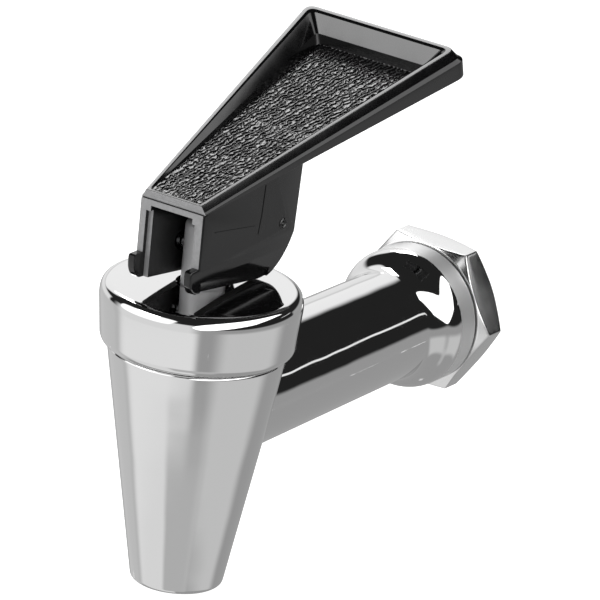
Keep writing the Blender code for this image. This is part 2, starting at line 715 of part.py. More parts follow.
def recess_ring(back, inset, lean, depths, corner):
    """A level of the recess whose side lean grows with its depth, from nothing at the front."""
    ring = tray_ring(RIM_WIDTH / 2, back, inset, depths, corner)
    front_y = ring[0].y
    back_y = max(p.y for p in ring)
    for p in ring:
        share = (p.y - front_y) / (back_y - front_y)
        p.x -= math.copysign(lean * share, p.x)
    return ring


def cheek_chamfer(cutters, side):
    """A long wedge that takes off the outer bottom edge of one cheek, along its sloping bottom."""
    slope = math.radians(CHEEK_BOTTOM_SLOPE_DEG)
    front = -CHEEK_BOTTOM_FRONT
    back = CAM_OFFSET + CHEEK_CHAMFER_RISE
    rest = -cam_height(0.0)
    rate = CHEEK_CHAMFER_RISE / CHEEK_CHAMFER_DEPTH
    inner = LEVER_HALF_WIDTH - CHEEK_CHAMFER_DEPTH - CUT_PAST / 2 / rate
    outer = LEVER_HALF_WIDTH + CUT_PAST
    tops = (-CUT_PAST / 2, CHEEK_CHAMFER_RISE + CUT_PAST * rate)
    corners = [[[None, None], [None, None]], [[None, None], [None, None]]]
    for i, x in enumerate((inner, outer)):
        for j, y in enumerate((front, back)):
            line = rest + (CAM_OFFSET - y) * math.tan(slope)
            corners[i][j][0] = (side * x, y, line - CUT_PAST)
            corners[i][j][1] = (side * x, y, line + tops[i])
    return as_cutter(box_from_corners("cheek_chamfer_cut", cutters, corners))


def build_lever(group, cutters):
    lever = plate("lever_handle", group, cheek_outline(), LEVER_HALF_WIDTH, CHEEK_EDGE_ROUND)
    tray = tray_form(cutters)
    recess = tray_recess(cutters)
    mouth = -LEVER_FRONT - TOE_REACH - CUT_PAST
    roof_front = tray_line(-LEVER_FRONT, ROOF_FRONT_DEPTH)
    roof_back = tray_line(CHEEK_BACK, underside_depth(CHEEK_BACK) + ROOF_BACK_MARGIN)
    channel_outline = [
        (mouth, -PIN_RISE),
        (CHEEK_BACK + CUT_PAST, -PIN_RISE),
        (CHEEK_BACK + CUT_PAST, roof_back),
        (-LEVER_FRONT, roof_front),
        (mouth, roof_front),
    ]
    channel = as_cutter(plate("channel_cut", cutters, channel_outline, CHANNEL_HALF))
    socket_length = 2 * (CHANNEL_HALF + PIN_SOCKET_DEPTH)
    socket = as_cutter(rod("pin_socket_cut", cutters, PIN_RADIUS + SEATING_GAP, socket_length))
    chamfers = [cheek_chamfer(cutters, side) for side in (-1, 1)]
    for piece in (lever, tray, recess, channel, *chamfers):
        piece.location = pivot_point() * MM
    boolean(lever, tray, "UNION")
    boolean(lever, recess, "DIFFERENCE")
    boolean(lever, channel, "DIFFERENCE")
    boolean(lever, socket, "DIFFERENCE")
    for chamfer in chamfers:
        boolean(lever, chamfer, "DIFFERENCE")
    return lever


def main():
    for obj in list(bpy.data.objects):
        bpy.data.objects.remove(obj)
    group = collection(OBJECT_NAME)
    cutters = collection(CUTTER_NAME)
    chrome = (0.72, 0.72, 0.73)
    pin = rod("lever_pin", group, PIN_RADIUS, 2 * PIN_HALF_LENGTH)
    dress(build_body(group, cutters), "bright_chrome_body", chrome, 1.0, 0.12)
    dress(build_bonnet(group), "bright_chrome_bonnet", chrome, 1.0, 0.10)
    dress(build_nut(group, cutters), "bright_chrome_nut", chrome, 1.0, 0.14)
    dress(build_retaining_ring(group, cutters), "spring_steel_ring", (0.45, 0.45, 0.46), 1.0, 0.3)
    dress(build_washer(group), "silicone_washer", (0.75, 0.74, 0.70), 0.0, 0.5)
    dress(build_seat_cup(group), "silicone_seat_cup", (0.80, 0.79, 0.76), 0.0, 0.45)
    dress(build_stem(group, cutters), "grey_acetal_stem", (0.30, 0.30, 0.30), 0.0, 0.42)
    dress(pin, "stainless_pin", (0.60, 0.60, 0.60), 1.0, 0.25)
    dress(build_spring(group), "stainless_spring", (0.55, 0.55, 0.56), 1.0, 0.25)
    dress(build_lever(group, cutters), "black_moulded_lever", (0.015, 0.015, 0.016), 0.0, 0.32)


main()
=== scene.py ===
import math

import bmesh
import bpy
import numpy as np
from mathutils import Matrix, Vector


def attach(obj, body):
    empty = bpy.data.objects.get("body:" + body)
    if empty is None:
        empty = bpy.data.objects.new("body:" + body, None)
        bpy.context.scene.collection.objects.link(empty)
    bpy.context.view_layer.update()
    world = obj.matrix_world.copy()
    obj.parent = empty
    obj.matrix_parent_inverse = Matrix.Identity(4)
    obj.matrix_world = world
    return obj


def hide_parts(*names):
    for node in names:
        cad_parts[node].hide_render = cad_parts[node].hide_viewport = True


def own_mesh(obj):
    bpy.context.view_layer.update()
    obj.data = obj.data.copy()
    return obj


# Beverage dispenser spigot. Sizes are in millimetres and degrees; meshes are made in metres.
# +Y runs out of the inlet, +Z is up, the origin is the centre of the coupling nut's back face.
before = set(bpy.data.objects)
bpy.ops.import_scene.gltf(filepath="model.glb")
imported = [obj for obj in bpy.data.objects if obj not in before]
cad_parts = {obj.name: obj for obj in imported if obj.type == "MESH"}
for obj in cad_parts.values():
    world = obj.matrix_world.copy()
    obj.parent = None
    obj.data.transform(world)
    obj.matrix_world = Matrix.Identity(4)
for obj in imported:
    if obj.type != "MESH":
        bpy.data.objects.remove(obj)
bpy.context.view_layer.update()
mm = 0.001
print("frame loaded:", len(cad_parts), "solids")

# Places that several pieces share, as in the solids
place = {
    "spoutReach": 69.4,      # from the nut's back face to the spout's axis
    "seamRise": 10.7,        # seam under the bonnet above the shank's axis
    "gap": 0.3,
    "pivotRise": 16.5,       # lever's pin above the seam
}


def hexColour(code):
    channels = [int(code[i:i + 2], 16) / 255 for i in (1, 3, 5)]
    return [c / 12.92 if c <= 0.04045 else ((c + 0.055) / 1.055) ** 2.4 for c in channels] + [1.0]


def feed(tree, node, inputs):
    # sets each socket, or links it where the value is a socket or a node, which gives its first output
    for name, value in inputs.items():
        if isinstance(value, bpy.types.Node):
            value = value.outputs[0]
        if isinstance(value, bpy.types.NodeSocket):
            tree.links.new(value, node.inputs[name])
        else:
            node.inputs[name].default_value = value


def addNode(tree, kind, settings=None, inputs=None):
    # a kind without "Node" in it is a shader node
    node = tree.nodes.new(kind if "Node" in kind else "ShaderNode" + kind)
    for name, value in (settings or {}).items():
        setattr(node, name, value)
    feed(tree, node, inputs or {})
    return node


def newMaterial(name, values):
    made = bpy.data.materials.new(name)
    made.use_nodes = True
    shader = made.node_tree.nodes["Principled BSDF"]
    feed(made.node_tree, shader, values)
    return made, made.node_tree, shader


def placed(name, data):
    thing = bpy.data.objects.new(name, data)
    bpy.context.scene.collection.objects.link(thing)
    return thing


def newMesh(name, verts, faces):
    # vertices are given in millimetres
    mesh = bpy.data.meshes.new(name)
    mesh.from_pydata((np.asarray(verts, float) * mm).tolist(), [], faces)
    return mesh


# Outlines and rings

def roundedOutline(corners, closed=True, steps=6):
    # corners are (across, up, radius); each corner with a radius becomes an arc
    points = []
    count = len(corners)
    for i, (x, y, radius) in enumerate(corners):
        here = np.array((x, y), float)
        if radius <= 0 or (not closed and i in (0, count - 1)):
            points.append(here)
            continue
        before = np.array(corners[i - 1][:2], float) - here
        after = np.array(corners[(i + 1) % count][:2], float) - here
        before /= np.linalg.norm(before)
        after /= np.linalg.norm(after)
        half = math.acos(np.clip(before @ after, -1, 1)) / 2
        if half > math.radians(89.5):
            points.append(here)
            continue
        between = (before + after) / np.linalg.norm(before + after)
        centre = here + between * radius / math.sin(half)
        start = here + before * radius / math.tan(half) - centre
        end = here + after * radius / math.tan(half) - centre
        sweep = math.pi - 2 * half
        for k in range(steps + 1):
            share = k / steps
            mix = start * math.sin((1 - share) * sweep) + end * math.sin(share * sweep)
            points.append(centre + mix / math.sin(sweep))
    return points


def cornersOf(sizes, *rows):
    # rows give across, up and radius as numbers or as names of sizes; "-" before a name takes its negative
    def value(entry):
        if not isinstance(entry, str):
            return entry
        return -sizes[entry[1:]] if entry[0] == "-" else sizes[entry]
    return [tuple(value(entry) for entry in row) for row in rows]


def turnedRings(outline, steps):
    # rings about Z from (radius, height) points
    turn = np.arange(steps) * 2 * math.pi / steps
    outline = np.array(outline)
    radius = outline[:, 0][:, None]
    height = np.repeat(outline[:, 1][:, None], steps, 1)
    return np.stack([radius * np.cos(turn), radius * np.sin(turn), height], -1)


def aboutSpout(points):
    return points + np.array((0.0, -place["spoutReach"], place["seamRise"]))


def alongInlet(points):
    # lays a piece made about Z on the inlet's axis, its heights running along +Y
    return np.stack([points[..., 0], points[..., 2], -points[..., 1]], -1)


def meshFromRings(name, rings, closedAlong=False):
    count, around = rings.shape[:2]
    faces = []
    for i in range(count if closedAlong else count - 1):
        low, high = i * around, (i + 1) % count * around
        faces += [(low + j, low + (j + 1) % around, high + (j + 1) % around, high + j) for j in range(around)]
    return tidyMesh(name, newMesh(name, rings.reshape(-1, 3), faces))


def tidyMesh(name, mesh):
    # merges doubles, closes open ends and turns the faces outwards
    bm = bmesh.new()
    bm.from_mesh(mesh)
    bmesh.ops.remove_doubles(bm, verts=bm.verts, dist=1e-6)
    bmesh.ops.dissolve_degenerate(bm, edges=bm.edges, dist=1e-7)
    openEnds = [edge for edge in bm.edges if edge.is_boundary]
    if openEnds:
        bmesh.ops.edgeloop_fill(bm, edges=openEnds)
    bmesh.ops.recalc_face_normals(bm, faces=bm.faces)
    bm.to_mesh(mesh)
    bm.free()
    return placed(name, mesh)


def shownMesh(piece):
    bpy.context.view_layer.update()
    return bpy.data.meshes.new_from_object(piece.evaluated_get(bpy.context.evaluated_depsgraph_get()))


def settle(piece):
    # makes what the modifiers show the piece's own mesh
    mesh = shownMesh(piece)
    piece.modifiers.clear()
    piece.data = mesh
    return piece


def carve(piece, other, operation="DIFFERENCE"):
    cut = piece.modifiers.new("carve", "BOOLEAN")
    cut.operation = operation
    cut.object = other
    cut.solver = "EXACT"
    settle(piece)
    bpy.data.objects.remove(other)
    return piece


def finishPiece(piece, finish, body, nodes, sharpDeg=30):
    piece.data.materials.clear()
    piece.data.materials.append(finish)
    piece.data.shade_smooth()
    piece.data.set_sharp_from_angle(angle=math.radians(sharpDeg))
    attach(piece, body)
    if nodes:
        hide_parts(*nodes)
    print("made", piece.name, len(piece.data.polygons), "faces")
    return piece


def turnedPiece(name, corners, steps, onto, closed=True, arcSteps=6):
    rings = turnedRings(roundedOutline(corners, closed, arcSteps), steps)
    return meshFromRings(name, onto(rings), closedAlong=closed)


# Finishes

chromeLook = {
    "colour": "#dcdcdc",
    "roughness": 0.045,
    "hazePerMm": 0.16,
    "wavePerMm": 0.11,       # slow waves left by casting and polishing, about 9 mm apart
    "linePerMm": 1.0,        # turning lines, drawn coarser than they are so that they show
    "lineMm": 0.0015,
    "pitPerMm": 1.1,
    "pitPatchPerMm": 0.22,
    "pitMm": 0.08,
    "satinRoughness": 0.5,   # the bell's turned rim
    "satinFrontMm": -9.75,
    "satinFadeMm": 0.15,
}


def patchy(tree, spot, perMm, span, levels, detail=3.0):
    # a noise in patches, and a value that it moves between two levels
    patches = addNode(tree, "TexNoise", inputs={"Vector": spot, "Scale": perMm / mm, "Detail": detail})
    return patches, addNode(tree, "MapRange", inputs={
        "Value": patches, "From Min": span[0], "From Max": span[1], "To Min": levels[0], "To Max": levels[1]})


def chromeFinish(name, wave, lines=None, satin=False, haze=(0.02, 0.07)):
    # bright chrome plate over brass: mirror clear, its reflections bent a little by the metal under it
    look = chromeLook
    made, tree, shader = newMaterial(name, {
        "Base Color": hexColour(look["colour"]), "Metallic": 1.0, "Roughness": look["roughness"]})
    spot = addNode(tree, "TexCoord").outputs["Object"]
    rough = patchy(tree, spot, look["hazePerMm"], (0.3, 0.75), haze)[1]
    axis = addNode(tree, "SeparateXYZ", inputs={"Vector": spot})
    if satin:
        # the rim was turned after casting and keeps fine lathe marks under the plate
        start, fade = look["satinFrontMm"] * mm, look["satinFadeMm"] * mm
        rim = addNode(tree, "MapRange", {"interpolation_type": "SMOOTHSTEP"}, {
            "Value": axis.outputs["Y"], "From Min": start - fade, "From Max": start + fade})
        rough = addNode(tree, "Mix", {"data_type": "FLOAT"}, {"Factor": rim, 2: rough, 3: look["satinRoughness"]})
    waves = addNode(tree, "TexNoise", inputs={
        "Vector": spot, "Scale": look["wavePerMm"] / mm, "Detail": 1.0, "Roughness": 0.3})
    bump = addNode(tree, "Bump", inputs={"Strength": 1.0, "Distance": wave * mm, "Height": waves})
    if lines:
        along = addNode(tree, "TexNoise", {"noise_dimensions": "1D"}, {
            "W": axis.outputs[lines], "Scale": look["linePerMm"] / mm, "Detail": 2.0})
        bump = addNode(tree, "Bump", inputs={
            "Strength": 1.0, "Distance": look["lineMm"] * mm, "Height": along, "Normal": bump})
    # a few small pits, only where the patches are high
    pits = addNode(tree, "TexVoronoi", inputs={"Vector": spot, "Scale": look["pitPerMm"] / mm})
    size = patchy(tree, spot, look["pitPatchPerMm"], (0.7, 0.84), (0.0, 0.1), 0.0)[1]
    depth = addNode(tree, "Math", {"operation": "SUBTRACT", "use_clamp": True}, {0: size, 1: pits})
    bump = addNode(tree, "Bump", {"invert": True}, {
        "Strength": 0.5, "Distance": look["pitMm"] * mm, "Height": depth, "Normal": bump})
    feed(tree, shader, {"Roughness": rough, "Normal": bump})
    return made


plasticLook = {
    "colour": "#0e0e0f", "roughness": 0.12,
    "grainColour": "#101011", "grainRoughness": 0.16,
    "flowPerMm": 0.21,
    "skinPerMm": 2.6, "skinMm": 0.0012,
    # painted light: the lighter greys and roughness below go on the front-facing faces, for the light they catch from
    # the front
    "paintedLitPerMm": 1.5, "paintedLitColours": ("#8e8e8f", "#b0b0b1"), "paintedLitRoughness": 0.55,
    "rolledRoughness": 0.8,
}


def plasticFinish(name, colour, roughness, marked=False):
    # black phenolic, moulded: a fairly clear gloss over a deep black, with faint flow marks
    look = plasticLook
    made, tree, shader = newMaterial(name, {"Base Color": hexColour(colour), "Roughness": roughness})
    spot = addNode(tree, "TexCoord").outputs["Object"]
    gloss = patchy(tree, spot, look["flowPerMm"], (0.3, 0.7), (roughness * 0.8, roughness * 1.25), 4.0)[1]
    skin = addNode(tree, "TexNoise", inputs={"Vector": spot, "Scale": look["skinPerMm"] / mm, "Detail": 2.0})
    bump = addNode(tree, "Bump", inputs={"Strength": 1.0, "Distance": look["skinMm"] * mm, "Height": skin})
    if marked:
        # painted light: the faces that look to the front are painted a lighter grey, broken up by noise, for the light
        # they catch from the front, and are given a duller roughness
        paintedLitMask = addNode(tree, "Attribute", {"attribute_name": "paintedLitFace"}).outputs["Fac"]
        paintedLitNoise = addNode(tree, "TexNoise", inputs={"Vector": spot, "Scale": look["paintedLitPerMm"] / mm, "Detail": 3.0})
        paintedLitGrey = addNode(tree, "Mix", {"data_type": "RGBA"}, {
            "Factor": paintedLitNoise, 6: hexColour(look["paintedLitColours"][0]), 7: hexColour(look["paintedLitColours"][1])})
        tone = addNode(tree, "Mix", {"data_type": "RGBA"}, {
            "Factor": paintedLitMask, 6: hexColour(colour), 7: paintedLitGrey.outputs[2]})
        feed(tree, shader, {"Base Color": tone.outputs[2]})
        # the undersides are rolled matt on the bonnet
        rolled = addNode(tree, "Attribute", {"attribute_name": "rolledFace"}).outputs["Fac"]
        for share, dull in ((paintedLitMask, look["paintedLitRoughness"]), (rolled, look["rolledRoughness"])):
            gloss = addNode(tree, "Mix", {"data_type": "FLOAT"}, {"Factor": share, 2: gloss, 3: dull})
    feed(tree, shader, {"Roughness": gloss, "Normal": bump})
    return made


def plainFinish(name, colour, metallic, roughness, perMm, depth):
    made, tree, shader = newMaterial(name, {
        "Base Color": hexColour(colour), "Metallic": metallic, "Roughness": roughness})
    spot = addNode(tree, "TexCoord").outputs["Object"]
    noise, gloss = patchy(tree, spot, perMm, (0.3, 0.7), (roughness * 0.85, roughness * 1.2))
    bump = addNode(tree, "Bump", inputs={"Strength": 1.0, "Distance": depth * mm, "Height": noise})
    feed(tree, shader, {"Roughness": gloss, "Normal": bump})
    return made


# Body casting: spout, valve chamber, shank and bell in one

body = {
    "topRadius": 14.2, "tipRadius": 7.25, "drop": 39.2, "tipRound": 1.0, "seamRound": 0.5,
    "collarRadius": 13.0, "collarRise": 5.5,
    "outletRadius": 5.1, "outletFlare": 0.5,
    "chamberRadius": 11.4, "chamberTurnDrop": 3.0, "chamberFloorRadius": 8.6, "seatDrop": 17.5,
    "seatRing": 1.2, "seatGutter": 1.0,
    "shankFront": 9.45, "shankBack": 8.9, "joinRound": 0.85,
    "bellRadius": 11.5, "bellRim": 4.0, "bellFillet": 4.6, "bellShoulder": 3.4,
    "bellBack": 5.7, "cavityFloor": 10.7, "cavityRadius": 10.1, "rimRound": 0.35,
    "sleeveRadius": 6.8, "sleeveBack": 7.0, "sleeveBore": 5.2, "bore": 6.2, "boreEnd": 65.1,
    "grooveRadius": 6.1, "grooveFront": 8.9, "grooveBack": 7.6,
}


def bellForm():
    # turn of the two arcs that lead from the shank to the bell, and how far from the nut's back they start
    rounds = body["bellFillet"] + body["bellShoulder"]
    turn = math.acos(1 - (body["bellRadius"] - body["shankBack"]) / rounds)
    return turn, body["bellBack"] + body["bellRim"] + rounds * math.sin(turn)


def shankRadius(y):
    # y is measured from the spout's axis
    length = place["spoutReach"] - bellForm()[1]
    return body["shankFront"] + (body["shankBack"] - body["shankFront"]) * np.minimum(y / length, 1.0)


def joinRings(around, arcSteps):
    # a ball rolled round the corner between shank and cone gives the cast fillet
    slope = (body["topRadius"] - body["tipRadius"]) / body["drop"]
    ball = body["joinRound"]
    turn = np.arange(around) * 2 * math.pi / around
    y = np.full(around, 12.0)     # a first guess that the loop closes in on
    for _ in range(12):
        reach = shankRadius(y) + ball
        x = reach * np.cos(turn)
        z = reach * np.sin(turn) - place["seamRise"]
        wide = body["topRadius"] + slope * z + ball * math.sqrt(1 + slope * slope)
        y = np.sqrt(wide * wide - x * x)
    centre = np.stack([x, y, z], -1)
    shankNormal = np.stack([np.cos(turn), np.zeros(around), np.sin(turn)], -1)
    flat = np.hypot(x, y)
    coneNormal = np.stack([x / flat, y / flat, np.full(around, -slope)], -1) / math.sqrt(1 + slope * slope)
    sweep = np.arccos(np.clip((shankNormal * coneNormal).sum(-1), -1, 1))[:, None]
    rings = [centre - ball * coneNormal - np.array((0, 3.0, 0)), centre - (ball + 0.02) * coneNormal]
    for k in range(1, arcSteps + 1):
        share = k / arcSteps
        mix = np.sin((1 - share) * sweep) * coneNormal + np.sin(share * sweep) * shankNormal
        rings.append(centre - ball * mix / np.sin(sweep))
    return rings


def shankRings(around):
    rings = joinRings(around, 14)
    turn, bellFront = bellForm()
    rimFront = body["bellBack"] + body["bellRim"]
    fillet, shoulder, length = body["bellFillet"], body["bellShoulder"], place["spoutReach"] - bellFront
    outline = [(float(shankRadius(length * share)), place["spoutReach"] - length * share)
               for share in np.linspace(0.28, 0.97, 20)]
    outline += [(body["shankBack"] + fillet - fillet * math.cos(turn * share),
                 bellFront - fillet * math.sin(turn * share)) for share in np.linspace(0, 1, 15)]
    outline += [(body["bellRadius"] - shoulder * (1 - math.cos(turn * (1 - share))),
                 rimFront + shoulder * math.sin(turn * (1 - share))) for share in np.linspace(0, 1, 13)[1:]]
    rim = cornersOf(body, ("bellRadius", rimFront - 0.2, 0), ("bellRadius", "bellBack", "rimRound"), (0, "bellBack", 0))
    angles = np.arange(around) * 2 * math.pi / around
    rings = [aboutSpout(ring) for ring in rings]
    for radius, back in outline + [tuple(p) for p in roundedOutline(rim, closed=False)]:
        rings.append(np.stack([radius * np.cos(angles), np.full(around, -back), radius * np.sin(angles)], -1))
    inner = rings[0] * (0.4, 0, 0.4) - (0, place["spoutReach"], 0)
    return np.array([inner] + rings)


chromeBody = chromeFinish("brightChromeOverCastBrass", 0.11, satin=True)
spoutCorners = cornersOf(body, (0, "collarRise", 0), ("collarRadius", "collarRise", 0.4), ("collarRadius", 0, 0.1),
                         ("topRadius", 0, "seamRound"), ("tipRadius", "-drop", "tipRound"), (0, "-drop", 0))
casting = turnedPiece("bodyCasting", spoutCorners, 360, aboutSpout, closed=False, arcSteps=10)
carve(casting, meshFromRings("shankForm", shankRings(240)), "UNION")
lip = body["outletRadius"] + body["seatRing"]
flare = body["outletRadius"] + body["outletFlare"]
over, under = body["collarRise"] + 1.5, -body["drop"] - 1      # the forms reach past the metal
gutter = -body["seatDrop"] - body["seatGutter"]
chamberCorners = cornersOf(
    body, (0, over, 0), ("chamberRadius", over, 0), ("chamberRadius", "-chamberTurnDrop", 0.5),
    ("chamberFloorRadius", "-seatDrop", 0), ("chamberFloorRadius", gutter, 0.3), (lip, gutter, 0),
    (lip, "-seatDrop", 0.2), ("outletRadius", "-seatDrop", 0.2), ("outletRadius", under + 2, 0.6), (flare, "-drop", 0),
    (flare, under, 0), (0, under, 0))
inletCorners = cornersOf(
    body, (0, 1, 0), ("sleeveBore", 1, 0), ("sleeveBore", -body["cavityFloor"] - 1, 0.3),
    ("bore", -body["cavityFloor"] - 2, 0.3), ("bore", "-boreEnd", 0), (0, "-boreEnd", 0))
past = -body["bellBack"] + 1
cavityCorners = cornersOf(
    body, (0, past, 0), ("cavityRadius", past, 0), ("cavityRadius", "-cavityFloor", 0.5),
    ("sleeveRadius", "-cavityFloor", 0.2), ("sleeveRadius", "-grooveFront", 0), ("grooveRadius", "-grooveFront", 0),
    ("grooveRadius", "-grooveBack", 0), ("sleeveRadius", "-grooveBack", 0), ("sleeveRadius", "-sleeveBack", 0.25),
    (0, "-sleeveBack", 0))
for form, corners, steps, onto in (("chamberForm", chamberCorners, 180, aboutSpout),
                                   ("inletForm", inletCorners, 144, alongInlet),
                                   ("cavityForm", cavityCorners, 144, alongInlet)):
    carve(casting, turnedPiece(form, corners, steps, onto, closed=False))
finishPiece(casting, chromeBody, "faucet", ["faucet_body"])


# Bonnet, turned

bonnet = {
    "radius": 16.0, "skirtRadius": 15.45, "seamRadius": 14.35, "rise": 10.15, "crown": 0.45,
    "edgeWidth": 2.1, "edgeDrop": 2.5, "edgeFullness": 2.75, "skirtRound": 1.5, "hole": 4.05,
    "pocket": 6.4, "bore": 13.3, "shoulder": 7.5, "ceiling": 9.0,
}


def crownRise(radius):
    return bonnet["rise"] + bonnet["crown"] * (1 - (radius / bonnet["radius"]) ** 2)


def bonnetOutline():
    flat = bonnet["radius"] - bonnet["edgeWidth"]
    points = [(r, crownRise(r)) for r in np.linspace(bonnet["hole"] + 0.25, flat, 22)]
    low = crownRise(flat) - bonnet["edgeDrop"]
    # the edge is a full round: a superellipse between crown and skirt
    power = 2 / bonnet["edgeFullness"]
    for a in np.radians(np.linspace(0, 90, 34)[1:-1]):
        points.append((flat + bonnet["edgeWidth"] * math.sin(a) ** power,
                       low + bonnet["edgeDrop"] * math.cos(a) ** power))
    lean = math.degrees(math.atan2(bonnet["radius"] - bonnet["skirtRadius"], low))
    points.append((bonnet["radius"], low))
    foot = place["gap"] + bonnet["skirtRound"]
    turnIn = bonnet["skirtRadius"] - bonnet["seamRadius"]
    points += [(bonnet["seamRadius"] + turnIn * math.cos(a), foot - bonnet["skirtRound"] * math.sin(a))
               for a in np.radians(np.linspace(lean, 90, 14))]
    inside = cornersOf(
        bonnet, (bonnet["seamRadius"] - 0.3, place["gap"], 0), ("bore", place["gap"], 0.2), ("bore", "shoulder", 0.2),
        ("pocket", "shoulder", 0.2), ("pocket", "ceiling", 0.2), ("hole", "ceiling", 0.15),
        ("hole", crownRise(0) - 0.2, 0))
    return points + [tuple(p) for p in roundedOutline(inside, closed=False, steps=3)]


chromeBonnet = chromeFinish("brightChromeOverTurnedBrass", 0.02, lines="Z")
cap = meshFromRings("bonnetCap", aboutSpout(turnedRings(bonnetOutline(), 360)), closedAlong=True)
finishPiece(cap, chromeBonnet, "faucet", ["bonnet"])


# Coupling nut

nut = {
    "acrossFlats": 23.4, "thickness": 5.4, "chamferRadius": 11.65, "chamferDeg": 30.0, "cornerRound": 0.3,
    "turnDeg": -3.5, "edge": 0.16, "barrelRadius": 9.8, "barrelFront": 10.4, "lipBack": 9.2,
    "threadRadius": 8.3, "threadPitch": 1.41, "threadDepth": 0.62, "mouthChamfer": 0.6, "lipRadius": 7.1,
}


def hexagon(flatSteps, cornerSteps):
    # places round the hexagon as (angle, radius), its corners slightly rounded
    apothem = nut["acrossFlats"] / 2
    corner = apothem / math.cos(math.pi / 6)
    ball = nut["cornerRound"]
    spots = []
    centre = corner - ball / math.cos(math.pi / 6)
    for side in range(6):
        middle, after = math.radians(60 * side), math.radians(60 * (side + 1))
        for k in range(cornerSteps + 1):
            a = middle + math.radians(-30 + 60 * k / cornerSteps)
            spots.append((centre * math.cos(middle) + ball * math.cos(a),
                          centre * math.sin(middle) + ball * math.sin(a)))
        a = middle + math.radians(30)
        start = np.array(spots[-1])
        end = np.array((centre * math.cos(after) + ball * math.cos(a), centre * math.sin(after) + ball * math.sin(a)))
        spots += [tuple(start + (end - start) * k / flatSteps) for k in range(1, flatSteps)]
    spots = np.array(spots)
    return np.arctan2(spots[:, 1], spots[:, 0]), np.hypot(spots[:, 0], spots[:, 1])


def nutRings():
    angle, reach = hexagon(36, 6)
    around = len(angle)
    turn = angle + math.radians(nut["turnDeg"])
    fall = math.tan(math.radians(nut["chamferDeg"]))
    room = reach - nut["chamferRadius"]
    edge = np.minimum(nut["edge"], room * 0.45)
    flank = room * fall

    def ring(radius, back):
        radius = np.broadcast_to(np.asarray(radius, float), (around,))
        back = np.broadcast_to(np.asarray(back, float), (around,))
        return np.stack([radius * np.cos(turn), -back, radius * np.sin(turn)], -1)

    def face(sign, base):
        # from the flat face out over the chamfer to the flats
        rows = [ring(nut["chamferRadius"] - inset, base) for inset in (0.5, 0.12, 0.06)]
        for share in (0.05, 0.12, 0.4, 0.8):
            radius = nut["chamferRadius"] + (room - edge) * share
            rows.append(ring(radius, base + sign * (radius - nut["chamferRadius"]) * fall))
        near = np.stack([reach - edge, base + sign * (flank - edge * fall)], -1)
        tip = np.stack([reach, base + sign * flank], -1)
        far = np.stack([reach, base + sign * (flank + edge)], -1)
        for t in (0.0, 0.25, 0.5, 0.75, 1.0):
            point = near * (1 - t) ** 2 + tip * 2 * t * (1 - t) + far * t * t
            rows.append(ring(point[:, 0], point[:, 1]))
        return rows

    rows = []
    mouth = nut["threadRadius"] + nut["mouthChamfer"]
    back = face(1, 0.0)
    front = face(-1, nut["thickness"])
    rows += [ring(mouth + 0.2, 0.0)] + back
    rows += [ring(reach, nut["thickness"] * share) for share in (0.35, 0.5, 0.65)]
    rows += front[::-1]
    barrel = cornersOf(nut, (11.0, "thickness", 0), ("barrelRadius", "thickness", 0.2),
                       ("barrelRadius", "barrelFront", 0.25), ("lipRadius", "barrelFront", 0.15),
                       ("lipRadius", "lipBack", 0.15), ("threadRadius", "lipBack", 0))
    rows += [ring(radius, depth) for radius, depth in roundedOutline(barrel, closed=False, steps=4)]
    deep, shallow = nut["lipBack"] - 0.15, nut["mouthChamfer"]
    for inward in np.arange(deep, shallow, -nut["threadPitch"] / 8):
        phase = (inward / nut["threadPitch"] - turn / (2 * math.pi)) % 1.0
        shape = np.clip(1.5 - 3 * np.abs(phase - 0.5) * 2, 0, 1)
        fade = min(1.0, (deep - inward) / 0.8)
        rows.append(ring(nut["threadRadius"] + nut["threadDepth"] * (1 - shape) * fade, inward))
    rows.append(ring(nut["threadRadius"] + nut["threadDepth"] * 0.2, shallow))
    return np.array(rows)


chromeNut = chromeFinish("brightChromeOverMilledBrass", 0.05, haze=(0.12, 0.24))
coupling = meshFromRings("couplingNut", nutRings(), closedAlong=True)
finishPiece(coupling, chromeNut, "coupling", ["coupling_nut"], 24)


# Small inner pieces, turned

# name, colour, metallic, roughness, pattern per mm and its depth in mm
steelWire = plainFinish("springSteelWire", "#b2b2b4", 1.0, 0.28, 0.9, 0.004)
stainless = plainFinish("drawnStainlessWire", "#c0c1c3", 1.0, 0.24, 1.2, 0.003)
groundPin = plainFinish("groundStainlessRod", "#c6c7c9", 1.0, 0.2, 1.5, 0.002)
silicone = plainFinish("mouldedMilkySilicone", "#dcdad3", 0.0, 0.42, 0.5, 0.006)
acetal = plainFinish("turnedGreyAcetal", "#c4c4c5", 0.0, 0.36, 0.7, 0.006)

washer = {"outer": 8.0, "inner": 5.2, "back": -5.2, "front": -6.7, "edge": 0.25}
washerCorners = cornersOf(washer, ("outer", "back", "edge"), ("outer", "front", "edge"), ("inner", "front", "edge"),
                          ("inner", "back", "edge"))
finishPiece(turnedPiece("inletWasher", washerCorners, 120, alongInlet), silicone, "faucet", ["inlet_washer"])

cup = {"bottom": -17.2, "tip": 7.3, "outer": 7.5, "inner": 6.2, "inside": -11.5,
       "flangeLow": 5.8, "flangeHigh": 7.2, "flange": 12.7, "buttonLow": -15.4, "buttonHigh": -13.4,
       "button": 3.7, "neck": 2.5}
cupCorners = cornersOf(
    cup, (0, "buttonLow", 0), ("button", "buttonLow", 0.2), ("button", "buttonHigh", 0.2), ("neck", "buttonHigh", 0.2),
    ("neck", "inside", 0.2), ("inner", "inside", 0.4), ("inner", "flangeHigh", 0.3), ("flange", "flangeHigh", 0.2),
    ("flange", "flangeLow", 0.2), ("outer", "flangeLow", 0.6), ("outer", "inside", 0.4), ("tip", "bottom", 0.7),
    (0, "bottom", 0))
finishPiece(turnedPiece("seatCup", cupCorners, 96, aboutSpout, closed=False), silicone, "faucet", ["seat_cup"])

